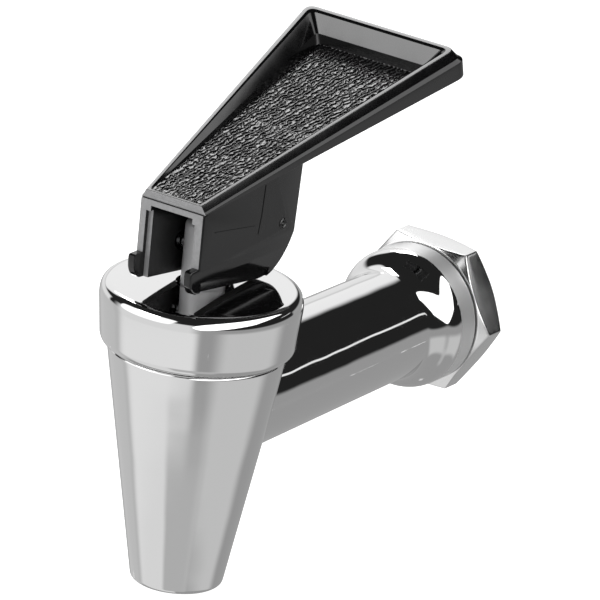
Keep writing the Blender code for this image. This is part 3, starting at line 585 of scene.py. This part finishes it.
stem = {"radius": 3.55, "rise": 21.0, "topRound": 1.1, "collar": 5.6, "collarLow": -11.2, "collarHigh": -9.7,
        "neck": 2.2, "button": 3.4, "buttonLow": -15.1, "buttonHigh": -13.7, "pinRadius": 1.5,
        "pinHalf": 4.5, "pinBevel": 0.25, "holeHalf": 5.0}
stemCorners = cornersOf(
    stem, (0, "rise", 0), ("radius", "rise", "topRound"), ("radius", "collarHigh", 0.2), ("collar", "collarHigh", 0.3),
    ("collar", "collarLow", 0.3), ("neck", "collarLow", 0.2), ("neck", "buttonHigh", 0.2),
    ("button", "buttonHigh", 0.3), ("button", "buttonLow", 0.3), (0, "buttonLow", 0))


def crossRod(name, radius, halfLength, bevel, steps=48):
    outline = roundedOutline([(0, -halfLength, 0), (radius, -halfLength, bevel), (radius, halfLength, bevel),
                              (0, halfLength, 0)], closed=False, steps=4)
    rings = turnedRings(outline, steps)
    across = np.stack([rings[..., 2], rings[..., 0], rings[..., 1]], -1)
    return meshFromRings(name, aboutSpout(across + np.array((0, 0, place["pivotRise"]))))


stemPiece = turnedPiece("valveStem", stemCorners, 96, aboutSpout, closed=False, arcSteps=8)
carve(stemPiece, crossRod("stemHole", stem["pinRadius"] + place["gap"], stem["holeHalf"], 0))
finishPiece(stemPiece, acetal, "stem_slider", ["stem"])
finishPiece(crossRod("leverPin", stem["pinRadius"], stem["pinHalf"], stem["pinBevel"]), groundPin, "stem_slider",
            ["lever_pin"])


# Pieces grown by Geometry Nodes

socketKinds = {float: "NodeSocketFloat", int: "NodeSocketInt", bpy.types.Material: "NodeSocketMaterial"}


def grown(name, fill, values, start=None):
    # fill adds its nodes to a tree with one input for each value; the result is kept as a plain mesh
    tree = bpy.data.node_groups.new(fill.__name__, "GeometryNodeTree")
    for way in ("OUTPUT", "INPUT"):
        tree.interface.new_socket("Geometry", in_out=way, socket_type="NodeSocketGeometry")
    for label, value in values.items():
        tree.interface.new_socket(label, in_out="INPUT", socket_type=socketKinds[type(value)])
    given = addNode(tree, "NodeGroupInput").outputs
    real = addNode(tree, "GeometryNodeRealizeInstances", inputs={"Geometry": fill(tree, given)})
    dressed = addNode(tree, "GeometryNodeSetMaterial", inputs={"Geometry": real, "Material": given["Finish"]})
    addNode(tree, "NodeGroupOutput", inputs={0: dressed})
    piece = placed(name, start or bpy.data.meshes.new(name))
    grow = piece.modifiers.new("grow", "NODES")
    grow.node_group = tree
    for item in tree.interface.items_tree:
        if item.in_out == "INPUT" and item.name in values:
            grow[item.identifier] = values[item.name]
    return settle(piece)


# low and high are the coil's outer ends over the seam, stroke is how far the stem presses it together
spring = {"wire": 0.45, "turns": 7.5, "low": -9.4, "high": 8.7, "mean": 5.225, "stepsPerTurn": 40, "stroke": 4.7}


def coiledWire(tree, given):
    spiral = addNode(tree, "GeometryNodeCurveSpiral", inputs={
        "Resolution": given["Steps"], "Rotations": given["Turns"], "Start Radius": given["Mean Radius"],
        "End Radius": given["Mean Radius"], "Height": given["Height"]})
    wire = addNode(tree, "GeometryNodeCurvePrimitiveCircle", inputs={"Resolution": 16, "Radius": given["Wire Radius"]})
    return addNode(tree, "GeometryNodeCurveToMesh", inputs={
        "Curve": spiral, "Profile Curve": wire, "Fill Caps": True})


coilLow, coilHigh = spring["low"] + spring["wire"], spring["high"] - spring["wire"]
coil = grown("closingSpring", coiledWire, {
    "Turns": spring["turns"], "Mean Radius": spring["mean"] * mm, "Height": (coilHigh - coilLow) * mm,
    "Wire Radius": spring["wire"] * mm, "Steps": spring["stepsPerTurn"], "Finish": stainless})
coil.data.transform(Matrix.Translation(Vector((0, -place["spoutReach"], place["seamRise"] + coilLow)) * mm))
finishPiece(coil, stainless, "spring_turn", ["closing_spring"])
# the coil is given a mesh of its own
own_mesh(coil)

clip = {"inner": 6.4, "outer": 7.6, "front": -8.9, "back": -7.9, "edge": 0.2, "mouth": 6.0}
clipCorners = cornersOf(clip, ("outer", "back", "edge"), ("outer", "front", "edge"), ("inner", "front", "edge"),
                        ("inner", "back", "edge"))


def clipRings():
    outline = np.array(roundedOutline(clipCorners, True, 3))
    half = math.asin(clip["mouth"] / 2 / clip["outer"])
    turn = np.linspace(half - math.pi / 2, 1.5 * math.pi - half, 90)
    return np.array([np.stack([outline[:, 0] * math.cos(a), outline[:, 1], outline[:, 0] * math.sin(a)], -1)
                     for a in turn])


finishPiece(meshFromRings("retainingClip", clipRings()), steelWire, "faucet", ["nut_retaining_ring"])


# Lever

lever = {
    "front": 10.6, "halfWidth": 6.0, "wall": 2.1, "frontWall": 1.25, "step": 0.8, "back": 16.8, "edgeRound": 0.35,
    "bottomSlope": 6.8, "bottomFront": 9.8, "chamferRise": 1.7, "chamferDepth": 0.8,
    "toeReach": 2.2, "toeRise": 4.2, "camOffset": 7.3, "camSweep": 64.0, "trayRise": 27.1, "slope": 15.4,
    "length": 58.8, "frontHalf": 6.0, "backHalf": 15.6, "frontDepth": 1.3, "backDepth": 5.2, "corner": 2.6,
    "roofDepth": 2.2, "roofMargin": 0.3, "stepDrop": 0.9, "socketDepth": 0.9,
}
# a toe's profile as shares of its reach and its rise, from the top round to the foot
toeShape = ((0.86, 1.0), (0.97, 0.95), (1.0, 0.86), (0.99, 0.66), (0.94, 0.48), (0.83, 0.32), (0.65, 0.18),
            (0.42, 0.08), (0.16, 0.02))
slope = math.radians(lever["slope"])
pivot = np.array((0.0, -place["spoutReach"], place["seamRise"] + place["pivotRise"]))


def camHeight(turn):
    contact = math.hypot(lever["camOffset"], lever["halfWidth"])
    return place["pivotRise"] - crownRise(contact) - place["gap"] + lever["camOffset"] * turn


def trayHeight(y, depth):
    # height over the pivot of the line that lies that deep under the tray's crest
    return lever["trayRise"] + (y + lever["front"]) * math.tan(slope) - depth / math.cos(slope) - place["pivotRise"]


def undersideDepth(y):
    along = (y + lever["front"]) / math.cos(slope)
    return lever["frontDepth"] + (lever["backDepth"] - lever["frontDepth"]) * along / lever["length"]


def cheekOutline():
    points = []
    for turn in np.radians(np.linspace(0, lever["camSweep"], 33)):
        height = camHeight(turn)
        points.append((lever["camOffset"] * math.cos(turn) + height * math.sin(turn),
                       lever["camOffset"] * math.sin(turn) - height * math.cos(turn)))
    middle = (undersideDepth(lever["back"]) + lever["frontDepth"]) / 2
    points.append((lever["back"], trayHeight(lever["back"], middle)))
    points.append((-lever["front"], trayHeight(-lever["front"], lever["frontDepth"])))
    bottom = (lever["camOffset"] + lever["bottomFront"]) * math.tan(math.radians(lever["bottomSlope"])) - camHeight(0.0)
    points.append((-lever["front"], bottom + lever["toeRise"]))
    points += [(-lever["front"] - lever["toeReach"] * out, bottom + lever["toeRise"] * up) for out, up in toeShape]
    points.append((-lever["bottomFront"], bottom))
    return points


def slab(name, outline, low, high, edgeRound=0.0):
    # an outline of (y, z) points over the pivot, filled and given its thickness along X
    curve = bpy.data.curves.new(name, "CURVE")
    curve.dimensions = "2D"
    curve.fill_mode = "BOTH"
    curve.extrude = ((high - low) / 2 - edgeRound) * mm
    curve.bevel_depth = edgeRound * mm
    curve.offset = -edgeRound * mm
    curve.bevel_resolution = 3
    line = curve.splines.new("POLY")
    line.points.add(len(outline) - 1)
    for point, (y, z) in zip(line.points, outline):
        point.co = (y * mm, z * mm, 0.0, 1.0)
    line.use_cyclic_u = True
    source = placed(name, curve)
    mesh = shownMesh(source)
    bpy.data.objects.remove(source)
    middle = (low + high) / 2
    mesh.transform(Matrix(((0, 0, 1, middle * mm), (1, 0, 0, pivot[1] * mm), (0, 1, 0, pivot[2] * mm), (0, 0, 0, 1))))
    return tidyMesh(name, mesh)


def half(along):
    return lever["frontHalf"] + (lever["backHalf"] - lever["frontHalf"]) * along / lever["length"]


def trayPoint(x, along, depth):
    # x across, along the tray from its front edge, depth under its crest
    y = along * np.cos(slope) + depth * np.sin(slope) - lever["front"] - place["spoutReach"]
    z = along * np.sin(slope) - depth * np.cos(slope) + lever["trayRise"] + place["seamRise"]
    return np.stack([x, y, z], -1)


def trayRing(frontInset, sideFront, sideBack, depthFront, depthBack, corner):
    # one level of the tray; insets come off its outer edges, depths are taken at its front and back
    sideSteps, cornerSteps, backSteps, frontSteps = 44, 10, 24, 12
    front, back = frontInset, lever["length"] - sideBack

    def edge(along):
        return half(along) - sideFront - (sideBack - sideFront) * along / lever["length"]

    start, turn = (np.array((edge(a), a)) for a in (back - corner, back))
    end = turn - (corner, 0)
    side = [(edge(a), a) for a in np.linspace(front, back - corner, sideSteps)]
    side += [tuple(start * (1 - t) ** 2 + turn * 2 * t * (1 - t) + end * t * t)
             for t in np.linspace(0, 1, cornerSteps + 1)[1:]]
    side += [(end[0] * (1 - t), back) for t in np.linspace(0, 1, backSteps // 2 + 1)[1:]]
    x, along = np.array(side).T
    fullX = np.concatenate([x, -x[-2::-1], np.linspace(-edge(front), edge(front), frontSteps + 1)[1:-1]])
    fullAlong = np.concatenate([along, along[-2::-1], np.full(frontSteps - 1, front)])
    depth = depthFront + (depthBack - depthFront) * (fullAlong - front) / (back - front)
    return trayPoint(fullX, fullAlong, depth)


# section of the tray's edge: front edge's inset, side's inset at the front and at the back,
# depth at the front and at the back, and the round at the front and at the back
traySection = (
    (2.5, 2.5, 5.0, 1.45, 5.2, 0, 0),
    (0.0, 0.0, 0.0, 1.45, 5.2, 0.1, 0.45),
    (0.0, 0.0, 0.0, 1.22, 1.95, 0.06, 0.15),
    (0.1, 0.26, 0.55, 0.96, 1.4, 0.03, 0.06),
    (0.22, 0.8, 1.3, 0.0, 0.0, 0.08, 0.1),
    (0.5, 1.3, 2.0, 0.0, 0.0, 0.03, 0.06),
    (0.66, 1.42, 2.5, 0.04, 0.22, 0.03, 0.15),
    (0.8, 1.55, 4.55, 0.1, 2.55, 0.03, 0.15),
    (1.0, 1.7, 5.0, 0.3, 4.25, 0.05, 0.25),
    (3.0, 3.2, 7.0, 0.45, 4.4, 0, 0),
)


def sectionRings(section, steps=5):
    front = roundedOutline([(row[1], row[3], row[5]) for row in section], closed=False, steps=steps)
    back = roundedOutline([(row[2], row[4], row[6]) for row in section], closed=False, steps=steps)
    edge = roundedOutline([(row[0], row[3], min(row[5], 0.1)) for row in section], closed=False, steps=steps)
    assert len(front) == len(back) == len(edge), "a corner of the tray's section lies on a straight line"
    rings = []
    for e, f, k in zip(edge, front, back):
        corner = max(0.8, lever["corner"] - 0.6 * k[0])
        rings.append(trayRing(e[0], f[0], k[0], f[1], k[1], corner))
    return np.array(rings)


moulding = slab("leverMoulding", cheekOutline(), -lever["halfWidth"], lever["halfWidth"], lever["edgeRound"])
carve(moulding, meshFromRings("trayForm", sectionRings(traySection)), "UNION")
mouth = -lever["front"] - lever["toeReach"] - 1
low = -place["pivotRise"]
roofBack = trayHeight(lever["back"], undersideDepth(lever["back"]) + lever["roofMargin"])
roofFront = trayHeight(-lever["front"], lever["roofDepth"])
channelOutline = [(mouth, low), (lever["back"] + 1, low), (lever["back"] + 1, roofBack),
                  (-lever["front"], roofFront), (mouth, roofFront)]
inner = lever["halfWidth"] - lever["wall"]
carve(moulding, slab("channelForm", channelOutline, -inner, inner))
wide = lever["halfWidth"] - lever["frontWall"]
stepBack, stepTop = lever["step"] - lever["front"], roofFront - lever["stepDrop"]
carve(moulding, slab("stepForm", [(mouth, low), (stepBack, low), (stepBack, stepTop), (mouth, stepTop)], -wide, wide))
carve(moulding, crossRod("socketForm", stem["pinRadius"] + place["gap"], inner + lever["socketDepth"], 0))


def chamferForm(side):
    # long wedge that takes off the outer bottom edge of one cheek
    rest = -camHeight(0.0)
    rate = lever["chamferRise"] / lever["chamferDepth"]
    corners = []
    for x, top in ((lever["halfWidth"] - lever["chamferDepth"] - 0.5 / rate, -0.5),
                   (lever["halfWidth"] + 1, lever["chamferRise"] + rate)):
        for y in (-lever["bottomFront"], lever["camOffset"] + lever["chamferRise"]):
            line = rest + (lever["camOffset"] - y) * math.tan(math.radians(lever["bottomSlope"]))
            corners += [(side * x, y, line - 1), (side * x, y, line + top)]
    return tidyMesh("chamferForm", newMesh("chamferForm", np.array(corners) + pivot, [
        (0, 1, 3, 2), (4, 6, 7, 5), (0, 4, 5, 1), (2, 3, 7, 6), (0, 2, 6, 4), (1, 5, 7, 3)]))


for side in (-1, 1):
    carve(moulding, chamferForm(side))


# gate mark and witness lines on the outer side: places over the pivot as (along, up)
cheekMarks = {"gate": (12.0, 2.5), "gateRadius": 0.92, "lineWidth": 0.16, "lineRise": 0.09,
              "lines": (((-7.1, 5.7), (4.1, 4.0)), ((6.2, 10.3), (5.8, 5.5)), ((5.8, 5.5), (5.2, 2.4)))}
face, ringRadius = lever["halfWidth"], cheekMarks["gateRadius"]
gateOutline = [(ringRadius * share, out, edge) for share, out, edge in (
    (0, -0.2, 0), (1, -0.2, 0), (1, 0.05, 0.03), (0.8, 0.24, 0.06), (0.6, 0.03, 0.03), (0.45, 0.03, 0),
    (0.26, 0.3, 0.08), (0, 0.34, 0))]
gateRings = turnedRings(roundedOutline(gateOutline, closed=False, steps=4), 40)
gateSpot = pivot + np.array((face, *cheekMarks["gate"]))
carve(moulding, meshFromRings("gateForm", gateRings[..., [2, 0, 1]] + gateSpot), "UNION")
for start, end in cheekMarks["lines"]:
    start, end = np.array(start), np.array(end)
    side = np.array((start[1] - end[1], end[0] - start[0])) / np.linalg.norm(end - start) * cheekMarks["lineWidth"] / 2
    strip = [tuple(start - side), tuple(end - side), tuple(end + side), tuple(start + side)]
    carve(moulding, slab("lineForm", strip, face - 0.1, face + cheekMarks["lineRise"]), "UNION")


def markFaces(piece):
    # the faces that look to the front, to be painted lighter as painted light, and the undersides that roll on the
    # bonnet
    plane = (-lever["front"] - place["spoutReach"]) * mm
    near, underPivot = 0.9 * mm, (pivot[2] - 4) * mm
    faces = piece.data.polygons
    # painted light: faces near the front plane that look to the front are marked to be painted a lighter grey
    paintedLitFront = [float(face.normal.y < -0.9 and abs(face.center.y - plane) < near) for face in faces]
    rolled = [float(face.normal.z < -0.8 and face.center.z < underPivot) for face in faces]
    for name, values in (("paintedLitFace", paintedLitFront), ("rolledFace", rolled)):
        piece.data.attributes.new(name, "FLOAT", "FACE").data.foreach_set("value", values)


markFaces(moulding)
blackMoulded = plasticFinish("blackMouldedPhenolic", plasticLook["colour"], plasticLook["roughness"],
                            marked=True)
finishPiece(moulding, blackMoulded, "lever", ["lever_handle"])


# Grained floor of the tray, by Geometry Nodes

grain = {"frontInset": 0.8, "sideFront": 1.5, "sideBack": 4.8, "depthFront": 0.12, "depthBack": 4.1,
         "cell": 0.115, "thickness": 0.5, "ridgeMm": 0.78, "runMm": 1.15, "height": 0.21, "leanDeg": 6.0, "seed": 4.0,
         "meanHalf": 8.5, "fullness": 0.85, "bends": ((0.5, 1.9), (1.25, 1.5))}


def grainBase():
    # closed thin slab; its top is a fine grid marked by the attribute lift
    front = grain["frontInset"]
    back = lever["length"] - grain["sideBack"]
    rows = int((back - front) / grain["cell"])
    columns = int(2 * grain["meanHalf"] / grain["cell"])
    share = np.linspace(0, 1, rows + 1)[:, None]
    along = front + (back - front) * share
    inset = grain["sideFront"] + (grain["sideBack"] - grain["sideFront"]) * along / lever["length"]
    x = np.linspace(-1, 1, columns + 1)[None, :] * (half(along) - inset)
    along = np.repeat(along, columns + 1, 1)
    depth = grain["depthFront"] + (grain["depthBack"] - grain["depthFront"]) * share
    depth = np.repeat(depth, columns + 1, 1)
    top = trayPoint(x, along, depth)
    low = trayPoint(x, along, depth + grain["thickness"])
    loop = [(0, j) for j in range(columns)] + [(i, columns) for i in range(rows)]
    loop += [(rows, j) for j in range(columns, 0, -1)] + [(i, 0) for i in range(rows, 0, -1)]
    verts = top.reshape(-1, 3).tolist()
    width = columns + 1
    faces = [(i * width + j, i * width + j + 1, (i + 1) * width + j + 1, (i + 1) * width + j)
             for i in range(rows) for j in range(columns)]
    rim = [i * width + j for i, j in loop]
    base = len(verts)
    verts += [low[i, j].tolist() for i, j in loop]
    count = len(loop)
    faces += [(rim[k], base + k, base + (k + 1) % count, rim[(k + 1) % count]) for k in range(count)]
    faces.append(tuple(base + k for k in range(count)))
    mesh = newMesh("thumbGrain", verts, faces)
    bm = bmesh.new()
    bm.from_mesh(mesh)
    bmesh.ops.recalc_face_normals(bm, faces=bm.faces)
    bm.to_mesh(mesh)
    bm.free()
    lift = np.zeros(len(verts), np.float32)
    lift[:base] = 1.0
    mesh.attributes.new("lift", "FLOAT", "POINT").data.foreach_set("value", lift)
    return mesh


def leatherGrain(tree, given):
    spot = addNode(tree, "GeometryNodeInputPosition")
    turned = addNode(tree, "VectorRotate", {"rotation_type": "Z_AXIS"}, {
        "Vector": spot, "Angle": math.radians(grain["leanDeg"])})
    split = addNode(tree, "SeparateXYZ", inputs={0: turned})
    across, along = (addNode(tree, "Math", {"operation": "DIVIDE"}, {
        0: split.outputs[axis], 1: given[size]}) for axis, size in (("X", "Ridge Spacing"), ("Y", "Ridge Run")))
    phase = across
    # two noises bend the ridges and let them fork and end
    for scale, reach in grain["bends"]:
        cell = addNode(tree, "CombineXYZ", inputs={"X": across, "Y": along, "Z": given["Seed"]})
        noise = addNode(tree, "TexNoise", inputs={"Vector": cell, "Scale": scale, "Detail": 1.0, "Roughness": 0.5})
        phase = addNode(tree, "Math", {"operation": "MULTIPLY_ADD"}, {0: noise, 1: reach, 2: phase})
    # ridges are the crests of |sin|; the furrows between them go down by the ridge's height
    lift = addNode(tree, "GeometryNodeInputNamedAttribute", {"data_type": "FLOAT"}, {"Name": "lift"})
    height = phase
    for operation, operand in (("MULTIPLY", math.pi), ("SINE", 0.0), ("ABSOLUTE", 0.0), ("POWER", grain["fullness"]),
                               ("SUBTRACT", 1.0), ("MULTIPLY", given["Ridge Height"]), ("MULTIPLY", lift)):
        height = addNode(tree, "Math", {"operation": operation}, {0: height, 1: operand})
    normal = addNode(tree, "CombineXYZ", inputs={"Y": -math.sin(slope), "Z": math.cos(slope)})
    move = addNode(tree, "VectorMath", {"operation": "SCALE"}, {0: normal, "Scale": height})
    return addNode(tree, "GeometryNodeSetPosition", inputs={"Geometry": given["Geometry"], "Offset": move})


blackGrained = plasticFinish("blackGrainedPhenolic", plasticLook["grainColour"], plasticLook["grainRoughness"])
grainPiece = grown("thumbGrain", leatherGrain, {
    "Ridge Spacing": grain["ridgeMm"] * mm, "Ridge Run": grain["runMm"] * mm, "Ridge Height": grain["height"] * mm,
    "Seed": grain["seed"], "Finish": blackGrained}, start=grainBase())
finishPiece(grainPiece, blackGrained, "lever", [], 60)


# Camera, at the photograph's viewing angle

view = {"turnDeg": 32.3863, "riseDeg": 20.2393, "rollDeg": 5.4250, "shift": (-16.0233, 7.1085, 1577.745),
        "focalPixels": 10121.32, "framePixels": 600, "sensor": 36.0}


def placeCamera():
    turn, rise, roll = (math.radians(view[k]) for k in ("turnDeg", "riseDeg", "rollDeg"))
    back = np.array((math.sin(turn) * math.cos(rise), -math.cos(turn) * math.cos(rise), math.sin(rise)))
    right = np.array((math.cos(turn), math.sin(turn), 0.0))
    axes = np.array((right, -np.cross(back, right), -back))
    c, s = math.cos(roll), math.sin(roll)
    axes = np.array(((c, -s, 0), (s, c, 0), (0, 0, 1))) @ axes
    spot = (-axes.T @ np.array(view["shift"]) + np.array((0, -place["spoutReach"], place["seamRise"]))) * mm
    camera = placed("productCamera", bpy.data.cameras.new("productCamera"))
    camera.data.sensor_width = view["sensor"]
    camera.data.lens = view["focalPixels"] / view["framePixels"] * view["sensor"]
    camera.data.clip_start = 0.01
    camera.data.clip_end = 50.0
    columns = np.array((axes[0], -axes[1], -axes[2])).T
    camera.matrix_world = Matrix([[*columns[i], spot[i]] for i in range(3)] + [[0, 0, 0, 1]])
    bpy.context.scene.camera = camera


placeCamera()
print("camera placed")

# Studio

studio = {
    "floorDrop": 28.7, "floorReach": 12000, "floorColour": "#e6e6e6", "floorGlow": 0.86,
    "worldLevel": 0.42, "aim": (0, -50, 15),
    "tentRadius": 3.0, "upperTone": 0.02, "lowerTone": 0.40, "turnoverDeg": (-8, -3), "bandSoft": 8,
}
# level lengths of the tent, in degrees: azimuth, half width, elevation, half height, side softness, level
tentBands = (
    (-160, 50, -46, 60, 18, 0.90),
    (-160, 50, -29, 7, 12, 0.98),
    (150, 32, -48, 11, 12, 0.57),
    (-82, 28, -26, 22, 24, 0.66),
    (82, 40, -31, 13, 24, 0.70),
    (-60, 34, 4, 10, 5, 0.95),
    (-2, 26, 1, 9, 5, 0.42),
)
# flat cards hung in it, in degrees: azimuth, elevation, roll, half width, half height, squareness, softness, level
tentCards = (
    (-149, 20, 0, 34, 22, 5, 0.05, 1.5),
    (-46, 28, 0, 24, 14, 4, 0.2, 1.1),
    (101, 32, 27.6, 60, 20.5, 3, 0.05, 2.4),
    (54, 16, 20, 30, 14.5, 3, 0.05, 0.02),
    (35, 14, 0, 9, 1.1, 4, 0.2, 1.1),
)


def direction(azimuth, elevation):
    # the azimuth runs from +Y towards +X; both are in degrees
    az, el = math.radians(azimuth), math.radians(elevation)
    return Vector((math.sin(az) * math.cos(el), math.cos(az) * math.cos(el), math.sin(el)))


def tentFabric():
    # bands, then cards, painted in their order over a dark upper half and a paler lower half
    made = bpy.data.materials.new("tentFabric")
    made.use_nodes = True
    tree = made.node_tree
    tree.nodes.clear()
    spot = addNode(tree, "TexCoord").outputs["Object"]
    way = addNode(tree, "VectorMath", {"operation": "NORMALIZE"}, {0: spot})
    split = addNode(tree, "SeparateXYZ", inputs={0: way})
    azimuth = addNode(tree, "Math", {"operation": "ARCTAN2"}, {0: split.outputs["X"], 1: split.outputs["Y"]})
    elevation = addNode(tree, "Math", {"operation": "ARCSINE"}, {0: split.outputs["Z"]})

    soften = {"interpolation_type": "SMOOTHSTEP"}
    coats = []
    for centre, halfWidth, middle, halfHeight, soft, tone in tentBands:
        inside = []
        for source, at, reach, blur in ((azimuth, centre, halfWidth, soft),
                                        (elevation, middle, halfHeight, studio["bandSoft"])):
            off = addNode(tree, "Math", {"operation": "SUBTRACT"}, {0: source, 1: math.radians(at)})
            wrapped = addNode(tree, "Math", {"operation": "WRAP"}, {0: off, 1: math.pi, 2: -math.pi})
            size = addNode(tree, "Math", {"operation": "ABSOLUTE"}, {0: wrapped})
            inside.append(addNode(tree, "MapRange", soften, {
                "Value": size, "From Min": math.radians(reach + blur / 2), "From Max": math.radians(reach - blur / 2)}))
        coats.append((addNode(tree, "Math", {"operation": "MULTIPLY"}, {0: inside[0], 1: inside[1]}), tone))
    for centre, middle, roll, halfWidth, halfHeight, square, soft, tone in tentCards:
        to, right, lean = direction(centre, middle), direction(centre + 90, 0), math.radians(roll)
        up = right.cross(to)
        depth = addNode(tree, "VectorMath", {"operation": "DOT_PRODUCT"}, {0: way, 1: to})
        near = addNode(tree, "Math", {"operation": "MAXIMUM"}, {0: depth.outputs["Value"], 1: 0.01})
        powers = []
        for axis, reach in ((right * math.cos(lean) - up * math.sin(lean), halfWidth),
                            (right * math.sin(lean) + up * math.cos(lean), halfHeight)):
            size = addNode(tree, "VectorMath", {"operation": "DOT_PRODUCT"}, {0: way, 1: axis}).outputs["Value"]
            for operation, operand in (("DIVIDE", near), ("ABSOLUTE", 0.0), ("DIVIDE", math.tan(math.radians(reach))),
                                       ("POWER", square)):
                size = addNode(tree, "Math", {"operation": operation}, {0: size, 1: operand})
            powers.append(size)
        total = addNode(tree, "Math", {"operation": "ADD"}, {0: powers[0], 1: powers[1]})
        rim = addNode(tree, "Math", {"operation": "POWER"}, {0: total, 1: 1 / square})
        coats.append((addNode(tree, "MapRange", soften, {
            "Value": rim, "From Min": 1 + soft, "From Max": 1 - soft}), tone))
    low, high = (math.radians(a) for a in studio["turnoverDeg"])
    level = addNode(tree, "MapRange", soften, {
        "Value": elevation, "From Min": low, "From Max": high,
        "To Min": studio["lowerTone"], "To Max": studio["upperTone"]})
    for share, tone in coats:
        level = addNode(tree, "Mix", {"data_type": "FLOAT"}, {"Factor": share, 2: level, 3: tone})
    glow = addNode(tree, "Emission", inputs={"Color": (1, 1, 1, 1), "Strength": level})
    addNode(tree, "OutputMaterial", inputs={"Surface": glow})
    return made


def lightTent():
    # a tent of white panels and black flags that only reflections see
    bm = bmesh.new()
    bmesh.ops.create_uvsphere(bm, u_segments=48, v_segments=24, radius=studio["tentRadius"])
    bmesh.ops.reverse_faces(bm, faces=bm.faces)
    mesh = bpy.data.meshes.new("lightTent")
    bm.to_mesh(mesh)
    bm.free()
    mesh.materials.append(tentFabric())
    tent = placed("lightTent", mesh)
    for rays in ("camera", "diffuse", "transmission", "shadow", "volume_scatter"):
        setattr(tent, "visible_" + rays, False)


def studioFloor():
    reach, low = studio["floorReach"], -studio["floorDrop"]
    mesh = newMesh("studioFloor", [(-reach, -reach, low), (reach, -reach, low), (reach, reach, low),
                                   (-reach, reach, low)], [(0, 1, 2, 3)])
    made, tree, shader = newMaterial("paintedStudioFloor", {
        "Base Color": hexColour(studio["floorColour"]), "Roughness": 0.9, "Specular IOR Level": 0.1,
        "Emission Color": (1, 1, 1, 1)})
    rays = addNode(tree, "LightPath")
    glow = addNode(tree, "Math", {"operation": "MULTIPLY"}, {0: rays.outputs["Is Camera Ray"], 1: studio["floorGlow"]})
    feed(tree, shader, {"Emission Strength": glow})
    mesh.materials.append(made)
    floor = placed("studioFloor", mesh)
    floor.visible_glossy = False


def studioWorld():
    # plain light on the object; camera, gloss and glass see it white
    world = bpy.data.worlds.new("whiteStudio")
    bpy.context.scene.world = world
    world.use_nodes = True
    tree = world.node_tree
    rays = addNode(tree, "LightPath")
    seen = rays.outputs["Is Camera Ray"]
    for kind in ("Is Glossy Ray", "Is Transmission Ray"):
        seen = addNode(tree, "Math", {"operation": "MAXIMUM"}, {0: seen, 1: rays.outputs[kind]})
    level = addNode(tree, "MapRange", inputs={"Value": seen, "To Min": studio["worldLevel"], "To Max": 1.0})
    feed(tree, tree.nodes["Background"], {"Color": (1, 1, 1, 1), "Strength": level})


# azimuth, elevation, then distance, width and height in metres, radiance, seen in reflections
softboxes = {
    "softboxFront": (-145, 33, 1.3, 0.62, 0.42, 5.0, True),
    "softboxBackLeft": (-43, 41, 1.3, 0.55, 0.40, 5.5, True),
    "softboxRight": (95, 34, 1.3, 0.50, 0.40, 2.2, True),
    "frontWall": (-165, -4, 1.6, 1.8, 1.3, 1.3, False),
}


def addSoftbox(name, azimuth, elevation, distance, width, height, radiance, seen):
    lamp = bpy.data.lights.new(name, "AREA")
    lamp.shape = "RECTANGLE"
    lamp.size, lamp.size_y = width, height
    lamp.energy = radiance * math.pi * width * height
    holder = placed(name, lamp)
    way = direction(azimuth, elevation)
    holder.location = Vector(studio["aim"]) * mm + way * distance
    holder.rotation_euler = way.to_track_quat("Z", "Y").to_euler()
    holder.visible_camera = False
    holder.visible_glossy = seen


lightTent()
studioFloor()
studioWorld()
for name, values in softboxes.items():
    addSoftbox(name, *values)
bpy.context.scene.view_settings.view_transform = "Standard"
print("studio lit")
